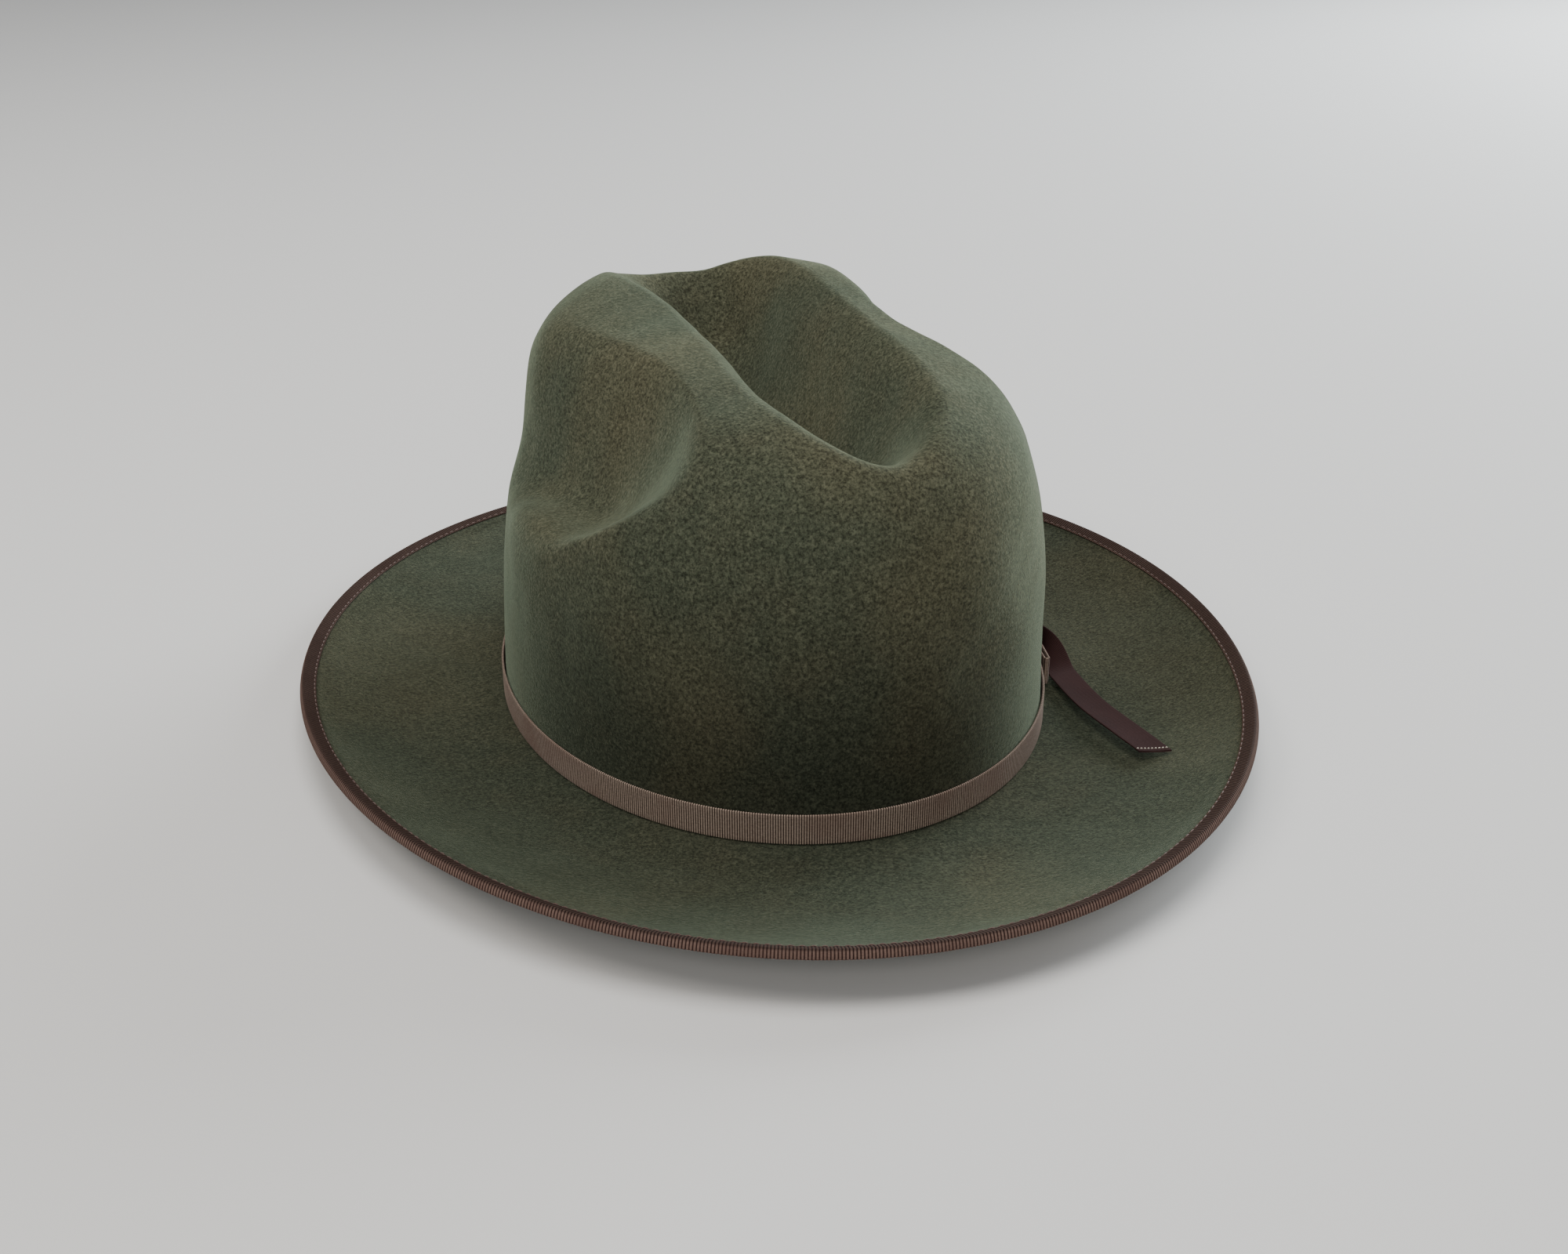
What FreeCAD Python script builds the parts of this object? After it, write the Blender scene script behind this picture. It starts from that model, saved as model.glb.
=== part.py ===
"""Felt hat with a centre crease and two side dents, bound brim, thin ribbon and loose ribbon tail.

Millimetres. +Z is up, +Y is the hat's front, +X is the wearer's right.
The origin is the middle of the brim's outline, on the surface that the hat stands on.
"""

import FreeCAD, Part
import Sketcher
import math
import os

Vector = FreeCAD.Vector

# ---------------------------------------------------------------- driving dimensions
DIMENSIONS = {
    # felt
    "felt_thick": 2.0,
    "crown_length": 205.6,       # foot of the crown, outside, front to back
    "crown_width": 174.4,        # foot of the crown, outside, side to side
    "brim_length": 347.0,        # over the binding
    "brim_width": 305.0,
    "brim_flat": 10.0,           # flat ring of brim next to the crown
    "edge_lift": 10.9,           # mean height of the brim's edge above its flat ring
    "edge_back": 5.5,            # how much more the back edge lifts, and the front edge less
    "edge_sides": 2.2,           # how much more the side edges lift, and the ends less
    "brim_curl": 2.2,            # power of the brim's upward curl
    # open crown, before the creases
    "crown_top": 120.8,
    "crown_rake": 0.055,         # rise of the top per millimetre towards the front
    "crown_taper": 0.055,
    "square_sides": 4.6,         # power of the crown's shoulder at the sides
    "square_front": 6.5,         # and how much squarer it is at the front
    "square_back": 1.5,          # and at the back
    "lean_side": 2.0,            # how far the pressed top leans to the wearer's right
    "lean_front": 2.0,           # and to the front
    "press_side": 5.5,           # how far right of the middle the top was pressed in
    # centre crease
    "crease_floor": 80.0,
    "crease_round": 11.5,
    "crease_slope": 3.02,
    "crease_steepen": 0.008,     # slope gained per millimetre towards the front
    "crease_low_y": 5.0,
    "crease_back_reach": 81.0,
    "crease_back_rise": 27.0,
    "crease_front_reach": 66.0,
    "crease_front_rise": 14.0,
    "crease_power": 4.0,
    "crease_flare_left": 32.0,   # extra rounding at the front end, on the wearer's left
    "crease_flare_right": 6.0,
    "side_blend": 12.0,          # half width of the change between left and right values
    "ridge_soft": 22.0,
    # side dents, placed by their angle above a level line through the crown's middle
    "dent_level": 60.0,
    "dent_angle": 27.5,
    "dent_slant": -0.167,        # degrees per millimetre towards the front
    "dent_y": -10.0,
    "dent_back_length": 55.0,
    "dent_front_length": 90.0,
    "dent_spread": 26.0,         # half width, in degrees
    "dent_widen": 0.08,          # degrees gained per millimetre towards the front
    "dent_depth": 36.0,
    "dent_inward": 0.45,
    "dent_round_back": 1.1,
    "dent_round_front": 1.7,
    "dent_change": 30.0,         # half length of the change between the two roundings
    "dent_lip": 0.35,
    "dent_round_low": 0.2,       # extra rounding on the dent's lower side
    "dent_fade": 0.93,           # share of the depth lost at the dent's lower front
    "dent_fade_back": -39.0,     # where that loss starts and is complete, from dent_y
    "dent_fade_front": 21.0,
    "dent_fade_high": 0.2,       # and how high and low in the dent, in half widths
    "dent_fade_low": -1.0,
    "right_angle": 5.5,          # what the right dent adds to the left one's values
    "right_slant": 0.2,
    "right_y": 20.0,
    # brim binding
    "bind_width": 3.8,
    "bind_thick": 0.5,
    "bind_gap": 0.1,
    "thread": 0.4,
    # ribbon and bow
    "ribbon_width": 10.0,
    "ribbon_thick": 0.8,
    "ribbon_gap": 0.1,
    "ribbon_lift": 0.4,
    "loop_length": 42.0,
    "loop_depth": 2.6,
    "loop_turn": 13.0,           # how far each loop turns in, to follow the crown
    "loop_inside": 91.4,
    "loop_foot": 3.0,
    "loop_half_gap": 0.5,
    "keeper_length": 8.0,
    "keeper_inside": 90.3,
    "keeper_depth": 4.7,
    "keeper_thick": 0.5,
    "keeper_gap": 0.2,
    # tail
    "tail_root_y": -5.2,
    "tail_root_x": 94.2,
    "tail_in": 6.0,              # how far the tail swings in towards the crown after its root
    "tail_in_end": 64.0,
    "tail_out": 1.5,             # and out again towards its end
    "tail_out_start": 55.0,
    "tail_out_end": 115.0,
    "tail_length": 95.5,
    "tail_foot": 2.9,            # lower edge of the upright part
    "tail_hover": 4.4,           # middle of the flat part where it starts
    "tail_rise": 3.1,
    "tail_upright": 12.0,        # length that stands upright
    "tail_laid": 34.0,           # and where it lies flat
    "tail_slant": 3.4,
    "tail_stitch_inset": 3.0,
    "tail_stitches": 6,
    # sweatband
    "sweat_inset": 3.1,
    "sweat_thick": 1.0,
    "sweat_foot": 3.4,
    "sweat_top": 53.0,
    "reed_foot": 1.5,
    "reed_top": 3.1,
    "reed_gap": 0.1,
    "tape_foot": 0.9,
    "tape_top": 6.4,
    "tape_inner_top": 5.4,
    "tape_inset": 2.3,
    "tape_thick": 0.45,
    "tape_depth": 2.4,
    "seam_lift": 0.6,
    "back_bow_width": 26.0,
    "back_bow_height": 9.0,
    "back_bow_waist": 4.0,
    "back_bow_z": 9.0,
    "back_bow_clear": 2.7,       # stand-off that keeps the flat bow clear of the curved band
    "seam_height": 30.0,
    "seam_clear": 0.2,
    "seam_width": 3.0,
    "seam_stitches": 9,
    # lining
    "lining_inset": 2.5,
    "lining_thick": 0.3,
    "lining_foot": 12.0,
    "lining_top": 67.0,
    "piping": 1.6,
    # label
    "label_width": 24.0,
    "label_height": 14.0,
    "label_thick": 0.3,
    "label_z": 34.0,
    "label_clear": 2.0,          # stand-off that keeps the flat label clear of the curved band
}

document = FreeCAD.newDocument("FeltHat")
sheet = document.addObject("Spreadsheet::Sheet", "Dimensions")
for row, (alias, value) in enumerate(DIMENSIONS.items(), start=1):
    sheet.set(f"A{row}", alias)
    sheet.set(f"B{row}", str(value))
    sheet.setAlias(f"B{row}", alias)
document.recompute()


def size(alias):
    """The value of one cell of the sheet."""
    return float(sheet.get(alias))


FELT = size("felt_thick")
HALF_A = size("crown_length") / 2
HALF_B = size("crown_width") / 2
RINGS = 72                       # sections round the hat
TURN = 2 * math.pi
ANGLES = [TURN * i / RINGS for i in range(RINGS)]


# ---------------------------------------------------------------- the crown's outer surface
def soft_min(first, second, reach):
    """The lower of two heights, with a rounded edge about as wide as reach where they cross."""
    share = min(1.0, max(0.0, 0.5 + 0.5 * (second - first) / reach))
    return second * (1 - share) + first * share - reach * share * (1 - share)


def smooth_step(low, high, value):
    share = min(1.0, max(0.0, (value - low) / (high - low)))
    return share * share * (3 - 2 * share)


CROWN_TOP = size("crown_top")
CROWN_RAKE = size("crown_rake")
CROWN_TAPER = size("crown_taper")
SQUARE_SIDES = size("square_sides")
SQUARE_FRONT = size("square_front")
SQUARE_BACK = size("square_back")
LEAN = Vector(size("lean_side"), size("lean_front"), 0)
PRESS_SIDE = size("press_side")
SIDE_BLEND = size("side_blend")
CREASE_FLOOR = size("crease_floor")
CREASE_ROUND = size("crease_round")
CREASE_SLOPE = size("crease_slope")
CREASE_STEEPEN = size("crease_steepen")
CREASE_LOW_Y = size("crease_low_y")
CREASE_BACK = (size("crease_back_reach"), size("crease_back_rise"))
CREASE_FRONT = (size("crease_front_reach"), size("crease_front_rise"))
CREASE_POWER = size("crease_power")
FLARE_LEFT = size("crease_flare_left")
FLARE_RIGHT = size("crease_flare_right")
RIDGE_SOFT = size("ridge_soft")
DENT_LEVEL = size("dent_level")
DENT_ANGLE = size("dent_angle")
DENT_SLANT = size("dent_slant")
DENT_Y = size("dent_y")
DENT_BACK = size("dent_back_length")
DENT_FRONT = size("dent_front_length")
DENT_SPREAD = size("dent_spread")
DENT_WIDEN = size("dent_widen")
DENT_DEPTH = size("dent_depth")
DENT_INWARD = size("dent_inward")
ROUND_BACK = size("dent_round_back")
ROUND_FRONT = size("dent_round_front")
DENT_CHANGE = size("dent_change")
DENT_LIP = size("dent_lip")
DENT_FADE = size("dent_fade")
ROUND_LOW = size("dent_round_low")
FADE_BACK = size("dent_fade_back")
FADE_FRONT = size("dent_fade_front")
FADE_HIGH = size("dent_fade_high")
FADE_LOW = size("dent_fade_low")
RIGHT_ANGLE = size("right_angle")
RIGHT_SLANT = size("right_slant")
RIGHT_Y = size("right_y")


def open_crown(turn, climb):
    """A point of the uncreased crown. climb runs from 0 at its foot to pi/2 at its top."""
    ahead = max(0.0, math.sin(turn))
    behind = max(0.0, -math.sin(turn))
    power = SQUARE_SIDES + SQUARE_FRONT * ahead ** 2 + SQUARE_BACK * behind ** 2
    across, up = math.cos(climb), math.sin(climb)
    reach = (across ** power + up ** power) ** (-1 / power)
    out, rise = across * reach, up * reach
    shrink = 1 - CROWN_TAPER * rise
    x = HALF_B * out * math.cos(turn) * shrink
    y = HALF_A * out * math.sin(turn) * shrink
    return x, y, rise * (CROWN_TOP + CROWN_RAKE * y), rise


def right_share(x):
    """0 on the hat's left, 1 on its right, with a smooth change across the pressed middle."""
    return smooth_step(-SIDE_BLEND, SIDE_BLEND, x - PRESS_SIDE)


def crease_height(x, y):
    """The rounded trough pressed down the middle of the crown, flared at its front end."""
    along = y - CREASE_LOW_Y
    right = right_share(x)
    reach, climb = CREASE_FRONT if along > 0 else CREASE_BACK
    floor = CREASE_FLOOR + climb * (abs(along) / reach) ** CREASE_POWER
    flare = FLARE_LEFT * (1 - right) + FLARE_RIGHT * right
    radius = CREASE_ROUND + flare * max(0.0, along / CREASE_FRONT[0]) ** 3
    slope = CREASE_SLOPE + CREASE_STEEPEN * y
    return floor + slope * (math.hypot(x - PRESS_SIDE, radius) - radius)


def dent_push(x, y, z):
    """How far the scoop in each shoulder pushes the open crown down at a point."""
    right = right_share(x)
    angle = math.degrees(math.atan2(z - DENT_LEVEL, abs(x - PRESS_SIDE) + 1e-6))
    along = y - DENT_Y - RIGHT_Y * right
    middle = DENT_ANGLE + RIGHT_ANGLE * right + (DENT_SLANT + RIGHT_SLANT * right) * along
    above = (angle - middle) / max(6.0, DENT_SPREAD + DENT_WIDEN * along)
    length = DENT_FRONT if along > 0 else DENT_BACK
    inside = max(1e-6, 1 - (along / length) ** 2 - above ** 2)
    front = smooth_step(-DENT_CHANGE, DENT_CHANGE, along)
    power = ROUND_BACK * (1 - front) + ROUND_FRONT * front
    power += ROUND_LOW * smooth_step(0.4, -0.7, above)
    fading = smooth_step(FADE_BACK, FADE_FRONT, along) * smooth_step(FADE_HIGH, FADE_LOW, above)
    fade = 1 - DENT_FADE * fading
    return DENT_DEPTH * inside ** power * inside / (inside + DENT_LIP) * fade


def crown_point(turn, climb):
    """A point of the crown's outer surface, from the top of the brim up."""
    x, y, z, rise = open_crown(turn, climb)
    share = smooth_step(0.3, 0.6, rise)
    creased = z + share * (soft_min(z, crease_height(x, y), RIDGE_SOFT) - z)
    push = share * dent_push(x, y, z)
    inward = math.tanh((x - PRESS_SIDE) / 8) * DENT_INWARD * push
    return Vector(x - inward, y, creased - push + FELT) + LEAN * smooth_step(0.3, 1.0, rise)


def crown_normal(turn, climb):
    """The outward normal of the crown's outer surface."""
    step = 0.01
    climb = min(climb, math.pi / 2 - 3 * step)
    across = crown_point(turn + step, climb) - crown_point(turn - step, climb)
    up = crown_point(turn, climb + step) - crown_point(turn, max(0.0, climb - step))
    return across.cross(up).normalize()


def inner_crown_point(turn, climb):
    """The same point on the inside of the felt."""
    return crown_point(turn, climb) - crown_normal(turn, climb) * FELT


def wall_point(turn, height, inset):
    """A point on the crown's lower wall at a height above the table, moved in by inset."""
    low, high = 0.0, 1.2
    for _ in range(40):
        middle = (low + high) / 2
        if crown_point(turn, middle).z < height:
            low = middle
        else:
            high = middle
    point = crown_point(turn, low)
    inward = Vector(-point.x / HALF_B ** 2, -point.y / HALF_A ** 2, 0).normalize()
    return Vector(point.x, point.y, height) + inward * inset


# ---------------------------------------------------------------- the brim
def brim_point(turn, share, drop=0.0):
    """A point of the brim's top, from the crown (share 0) to its edge (share 1), or drop below it."""
    edge_a = size("brim_length") / 2 - size("bind_thick") - 5 * size("bind_gap")
    edge_b = size("brim_width") / 2 - size("bind_thick") - 5 * size("bind_gap")
    lift = size("edge_lift") - size("edge_back") * math.sin(turn) + size("edge_sides") * math.cos(2 * turn)
    flat = size("brim_flat") / (edge_a - HALF_A)
    curl = max(0.0, (share - flat) / (1 - flat)) ** size("brim_curl")
    x = (HALF_B + (edge_b - HALF_B) * share) * math.cos(turn)
    y = (HALF_A + (edge_a - HALF_A) * share) * math.sin(turn)
    return Vector(x, y, FELT + lift * curl - drop)


# ---------------------------------------------------------------- building surfaces
def ring_poles(points):
    """Poles of a closed cubic spline that passes through a ring of close points."""
    count = len(points)
    return [
        points[i] - (points[i - 1] - points[i] * 2 + points[(i + 1) % count]) * (1 / 6)
        for i in range(count)
    ]


def skin(rings):
    """A smooth face through rings of points; a ring may shrink to one point at the end."""
    columns = []
    knots = []
    mults = []
    stations = [float(i) for i in range(len(rings))]
    for i in range(RINGS):
        curve = Part.BSplineCurve()
        curve.interpolate(Points=[ring[i] for ring in rings], Parameters=stations)
        columns.append(curve.getPoles())
        knots = curve.getKnots()
        mults = curve.getMultiplicities()
    across = [ring_poles([column[j] for column in columns]) for j in range(len(columns[0]))]
    poles = [[across[j][i] for j in range(len(across))] for i in range(RINGS)]
    surface = Part.BSplineSurface()
    surface.buildFromPolesMultsKnots(
        poles, [1] * (RINGS + 1), mults, [float(i) for i in range(RINGS + 1)], knots, True, False, 3, 3
    )
    return surface.toShape()


def strip(ring_one, ring_two):
    """The ruled face between two rings of points."""
    poles = [[a, b] for a, b in zip(ring_poles(ring_one), ring_poles(ring_two))]
    surface = Part.BSplineSurface()
    surface.buildFromPolesMultsKnots(
        poles, [1] * (RINGS + 1), [2, 2], [float(i) for i in range(RINGS + 1)], [0.0, 1.0], True, False, 3, 1
    )
    return surface.toShape()


def ring_wire(points):
    """The closed spline through a ring of points."""
    curve = Part.BSplineCurve()
    curve.buildFromPolesMultsKnots(
        ring_poles(points), [1] * (RINGS + 1), [float(i) for i in range(RINGS + 1)], True, 3
    )
    return Part.Wire([curve.toShape()])


def closed_solid(faces):
    """One solid from faces that meet edge to edge."""
    shell = Part.Shell(faces)
    shell.sewShape()
    solid = Part.Solid(shell)
    if solid.Volume < 0:
        solid.reverse()
    return solid


def ring_solid(corners):
    """A ring whose section has these corners; each is a function of the angle round the hat."""
    rings = [[corner(turn) for turn in ANGLES] for corner in corners]
    faces = [strip(rings[i - 1], rings[i]) for i in range(len(rings))]
    return closed_solid(faces)


def add_feature(label, shape, place=None):
    """A sub-part whose shape is set here, for the pieces that follow the free-form felt."""
    feature = document.addObject("Part::Feature", label)
    feature.Label = label
    feature.Shape = shape
    feature.Placement = place or FreeCAD.Placement()
    sub_parts.append(feature)
    return feature


sub_parts = []


# ---------------------------------------------------------------- felt body
def make_felt():
    climbs = [math.pi / 2 * i / 30 for i in range(31)]
    outer = [[crown_point(turn, climb) for turn in ANGLES] for climb in climbs[:-1]]
    outer.append([crown_point(0, math.pi / 2)] * RINGS)
    inner = [[inner_crown_point(turn, climb) for turn in ANGLES] for climb in climbs[:-1]]
    drop = Vector(0, 0, FELT)
    inner.append([crown_point(0, math.pi / 2) - drop] * RINGS)
    mouth = [Vector(point.x, point.y, 0) for point in inner[0]]
    brim_shares = [0.0, 0.06, 0.14] + [0.14 + 0.86 * (i / 12) ** 1.5 for i in range(1, 13)]
    top = [[brim_point(turn, share) for turn in ANGLES] for share in brim_shares]
    under = [[brim_point(turn, share, FELT) for turn in ANGLES] for share in brim_shares[2:]]
    flat_face = Part.makeFace([ring_wire(under[0]), ring_wire(mouth)], "Part::FaceMakerBullseye")
    return closed_solid([
        skin(outer),
        skin(top),
        strip(top[-1], under[-1]),
        skin(under),
        flat_face,
        strip(mouth, inner[0]),
        skin(inner),
    ])


add_feature("felt_body", make_felt())


# ---------------------------------------------------------------- brim binding
def edge_frame(turn, share):
    """Top point, outward direction and upward normal of the brim near its edge."""
    here = brim_point(turn, share)
    outward = (here - brim_point(turn, share - 0.02)).normalize()
    side = (brim_point(turn + 0.01, share) - brim_point(turn - 0.01, share)).normalize()
    return here, outward, outward.cross(side).normalize()


def binding_corner(back, off, under):
    """A corner of the binding's section: back from the edge and off the felt's surface."""
    width = size("bind_width")
    reach = (size("brim_width") - size("crown_width")) / 2
    slack = 2.5 * size("bind_gap")

    def corner(turn):
        share = 1 - width / reach if back else 1.0
        point, outward, normal = edge_frame(turn, share)
        if under:
            point = point - Vector(0, 0, FELT) - normal * off
        else:
            point = point + normal * off
        return point if back else point + outward * (slack + off - size("bind_gap"))

    return corner


near = size("bind_gap")
far = near + size("bind_thick")
add_feature("brim_binding", ring_solid([
    binding_corner(True, far, False),
    binding_corner(False, far, False),
    binding_corner(False, far, True),
    binding_corner(True, far, True),
    binding_corner(True, near, True),
    binding_corner(False, near, True),
    binding_corner(False, near, False),
    binding_corner(True, near, False),
]))


def binding_stitch_corner(back, off):
    """A corner of the thread laid on the binding's top, close to its inner edge."""
    reach = (size("brim_width") - size("crown_width")) / 2

    def corner(turn):
        point, _, normal = edge_frame(turn, 1 - (size("bind_width") - back) / reach)
        return point + normal * off

    return corner


thread = size("thread")
add_feature("brim_binding_stitching", ring_solid([
    binding_stitch_corner(0.6, far + near + thread),
    binding_stitch_corner(0.6 + thread, far + near + thread),
    binding_stitch_corner(0.6 + thread, far + near),
    binding_stitch_corner(0.6, far + near),
]))


# ---------------------------------------------------------------- objects bound to the sheet
def bound(kind, name, **expressions):
    """A document object with some of its properties bound to cells of the sheet."""
    item = document.addObject(kind, name)
    for prop, formula in expressions.items():
        item.setExpression(prop, formula)
    return item


def place_by(item, x, y, z):
    """Binds the position of an object to the sheet."""
    item.setExpression("Placement.Base.x", x)
    item.setExpression("Placement.Base.y", y)
    item.setExpression("Placement.Base.z", z)
    return item


def finish(item, label):
    """Names a finished sub-part."""
    item.Label = label
    sub_parts.append(item)
    return item


def cut(name, base, tool):
    item = document.addObject("Part::Cut", name)
    item.Base = base
    item.Tool = tool
    return item


# ---------------------------------------------------------------- crown ribbon
def oval_prism(name, grow):
    """An upright oval prism that stands round the crown's foot, grown by a formula."""
    oval = bound(
        "Part::Ellipse",
        name + "Oval",
        MajorRadius="Dimensions.crown_length / 2 + " + grow,
        MinorRadius="Dimensions.crown_width / 2 + " + grow,
    )
    oval.Placement.Rotation = FreeCAD.Rotation(Vector(0, 0, 1), 90)
    place_by(oval, "0", "0", "Dimensions.felt_thick + Dimensions.ribbon_lift")
    prism = bound("Part::Extrusion", name, LengthFwd="Dimensions.ribbon_width")
    prism.Base = oval
    prism.DirMode = "Custom"
    prism.Dir = Vector(0, 0, 1)
    prism.Solid = True
    return prism


ribbon_outside = oval_prism("RibbonOutside", "Dimensions.ribbon_gap + Dimensions.ribbon_thick")
ribbon_inside = oval_prism("RibbonInside", "Dimensions.ribbon_gap")
finish(cut("CrownRibbon", ribbon_outside, ribbon_inside), "crown_ribbon")


# ---------------------------------------------------------------- bow
def flat_slot(name, inset):
    """A prism with rounded ends along X, inset from the loop's outline by a formula."""
    depth = f"(Dimensions.loop_depth - 2 * {inset})"
    box = bound(
        "Part::Box",
        name + "Middle",
        Length="Dimensions.loop_length - Dimensions.loop_depth",
        Width=depth,
        Height="Dimensions.ribbon_width",
    )
    place_by(box, "Dimensions.loop_depth / 2", inset, "0")
    ends = []
    for tag, x in (
        ("Near", "Dimensions.loop_depth / 2"),
        ("Far", "Dimensions.loop_length - Dimensions.loop_depth / 2"),
    ):
        end = bound("Part::Cylinder", name + tag, Radius=depth + " / 2", Height="Dimensions.ribbon_width")
        ends.append(place_by(end, x, "Dimensions.loop_depth / 2", "0"))
    fused = document.addObject("Part::MultiFuse", name)
    fused.Shapes = [box] + ends
    fused.Refine = True
    return fused


def bow_loop(name, label, side):
    """One loop of the bow; side is -1 for the one that lies to the back."""
    loop = cut(name, flat_slot(name + "Outside", "0"), flat_slot(name + "Inside", "Dimensions.ribbon_thick"))
    turn = math.radians(size("loop_turn"))
    base = Vector(size("loop_inside"), side * size("loop_half_gap"), size("loop_foot"))
    if side > 0:
        base += Vector(math.cos(turn), math.sin(turn), 0) * size("loop_depth")
    spin = side * (90 + size("loop_turn"))
    loop.Placement = FreeCAD.Placement(base, FreeCAD.Rotation(Vector(0, 0, 1), spin))
    return finish(loop, label)


bow_loop("RearLoop", "bow_rear_loop", -1)
bow_loop("FrontLoop", "bow_front_loop", 1)

keeper_outside = bound(
    "Part::Box",
    "KeeperOutside",
    Length="Dimensions.keeper_depth + 2 * Dimensions.keeper_thick",
    Width="Dimensions.keeper_length",
    Height="Dimensions.ribbon_width + 2 * Dimensions.keeper_gap + 2 * Dimensions.keeper_thick",
)
place_by(
    keeper_outside,
    "Dimensions.keeper_inside - Dimensions.keeper_thick",
    "-Dimensions.keeper_length / 2",
    "Dimensions.loop_foot - Dimensions.keeper_gap - Dimensions.keeper_thick",
)
keeper_inside = bound(
    "Part::Box",
    "KeeperInside",
    Length="Dimensions.keeper_depth",
    Width="Dimensions.keeper_length + 2",
    Height="Dimensions.ribbon_width + 2 * Dimensions.keeper_gap",
)
place_by(
    keeper_inside,
    "Dimensions.keeper_inside",
    "-Dimensions.keeper_length / 2 - 1",
    "Dimensions.loop_foot - Dimensions.keeper_gap",
)
finish(cut("Keeper", keeper_outside, keeper_inside), "bow_keeper")


# ---------------------------------------------------------------- ribbon tail
def tail_frame(run):
    """Middle, direction across and upward normal of the tail, a distance along it from its root."""
    laid = smooth_step(size("tail_upright"), size("tail_laid"), run)
    lean = math.pi / 2 * (1 - laid)
    across = Vector(math.cos(lean), 0, math.sin(lean))
    normal = Vector(-math.sin(lean), 0, math.cos(lean))
    upright = size("tail_foot") + size("ribbon_width") / 2
    height = size("tail_hover") + (upright - size("tail_hover")) * math.sin(lean)
    height += size("tail_rise") * max(0.0, run - size("tail_laid")) / (size("tail_length") - size("tail_laid"))
    x = size("tail_root_x") - size("tail_in") * smooth_step(0.0, size("tail_in_end"), run)
    x += size("tail_out") * smooth_step(size("tail_out_start"), size("tail_out_end"), run)
    return Vector(x, size("tail_root_y") - run, height), across, normal


def tail_section(run, slant):
    middle, across, normal = tail_frame(run)
    half = size("ribbon_width") / 2
    thick = size("ribbon_thick") / 2
    corners = []
    for side, face in ((-1, -1), (1, -1), (1, 1), (-1, 1)):
        back = Vector(0, slant * (1 - side) / 2, 0)
        corners.append(middle + across * (half * side) + normal * (thick * face) + back)
    return Part.makePolygon(corners + corners[:1])


def make_tail():
    count = 16
    length = size("tail_length")
    sections = []
    for i in range(count + 1):
        run = length * i / count
        share = max(0.0, 1 - (length - run) / 14)
        sections.append(tail_section(run, size("tail_slant") * share))
    return Part.makeLoft(sections, True, False)


add_feature("ribbon_tail", make_tail())

stitches = []
for i in range(int(size("tail_stitches"))):
    spot = (i + 0.5) / size("tail_stitches") - 0.5
    run = size("tail_length") - size("tail_stitch_inset") - size("tail_slant") * (0.5 - spot)
    middle, across, normal = tail_frame(run)
    lift = size("ribbon_thick") / 2 + 2 * size("ribbon_gap")
    at = middle + across * (spot * (size("ribbon_width") - 1)) + normal * lift
    stitch = bound(
        "Part::Box",
        f"TailStitch{i + 1}",
        Length="Dimensions.ribbon_width / Dimensions.tail_stitches * 0.6",
        Width="Dimensions.thread",
        Height="Dimensions.thread",
    )
    stitch.Placement.Base = at - Vector(size("ribbon_width") / size("tail_stitches") * 0.3, thread / 2, 0)
    stitches.append(stitch)
tail_stitches = document.addObject("Part::Compound", "TailStitches")
tail_stitches.Links = stitches
finish(tail_stitches, "ribbon_tail_stitches")


# ---------------------------------------------------------------- sweatband
def wall_ring(corners):
    """A ring inside the crown; each corner of its section is an inset and a height."""
    return ring_solid([lambda turn, c=corner: wall_point(turn, c[1], c[0]) for corner in corners])


inset = size("sweat_inset")
thick = size("sweat_thick")
add_feature("sweatband", wall_ring([
    (inset, size("sweat_foot")),
    (inset + thick, size("sweat_foot")),
    (inset + thick, size("sweat_top")),
    (inset, size("sweat_top")),
]))

tape = size("tape_inset")
cloth = size("tape_thick")
depth = size("tape_depth")
add_feature("sweatband_tape", wall_ring([
    (tape, size("tape_top")),
    (tape, size("tape_foot")),
    (tape + depth, size("tape_foot")),
    (tape + depth, size("tape_inner_top")),
    (tape + depth - cloth, size("tape_inner_top")),
    (tape + depth - cloth, size("tape_foot") + cloth),
    (tape + cloth, size("tape_foot") + cloth),
    (tape + cloth, size("tape_top")),
]))

reed_in = tape + cloth + size("reed_gap")
reed_out = tape + depth - cloth - size("reed_gap")
add_feature("sweatband_reed", wall_ring([
    (reed_in, size("reed_foot")),
    (reed_out, size("reed_foot")),
    (reed_out, size("reed_top")),
    (reed_in, size("reed_top")),
]))

seam_z = size("tape_inner_top") + size("seam_lift")
seam_in = inset + thick + size("reed_gap")
add_feature("sweatband_stitching", wall_ring([
    (seam_in, seam_z),
    (seam_in + thread, seam_z),
    (seam_in + thread, seam_z + thread),
    (seam_in, seam_z + thread),
]))


def back_wall(height):
    """Where the middle of a flat piece goes, so that it just clears the sweatband at the back."""
    return wall_point(1.5 * math.pi, height, inset + thick).y


def zigzag():
    """The thread that closes the sweatband's two ends, as one flat zigzag."""
    count = int(size("seam_stitches"))
    low = size("back_bow_z") + size("back_bow_height")
    step = size("seam_height") / count
    half = size("seam_width") / 2
    line = [Vector(half if i % 2 else -half, 0, low + step * i) for i in range(count + 1)]
    beside = [point + Vector(thread * 1.3, 0, 0) for point in reversed(line)]
    outline = Part.Face(Part.makePolygon(line + beside + line[:1]))
    return outline.extrude(Vector(0, thread, 0))


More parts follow.
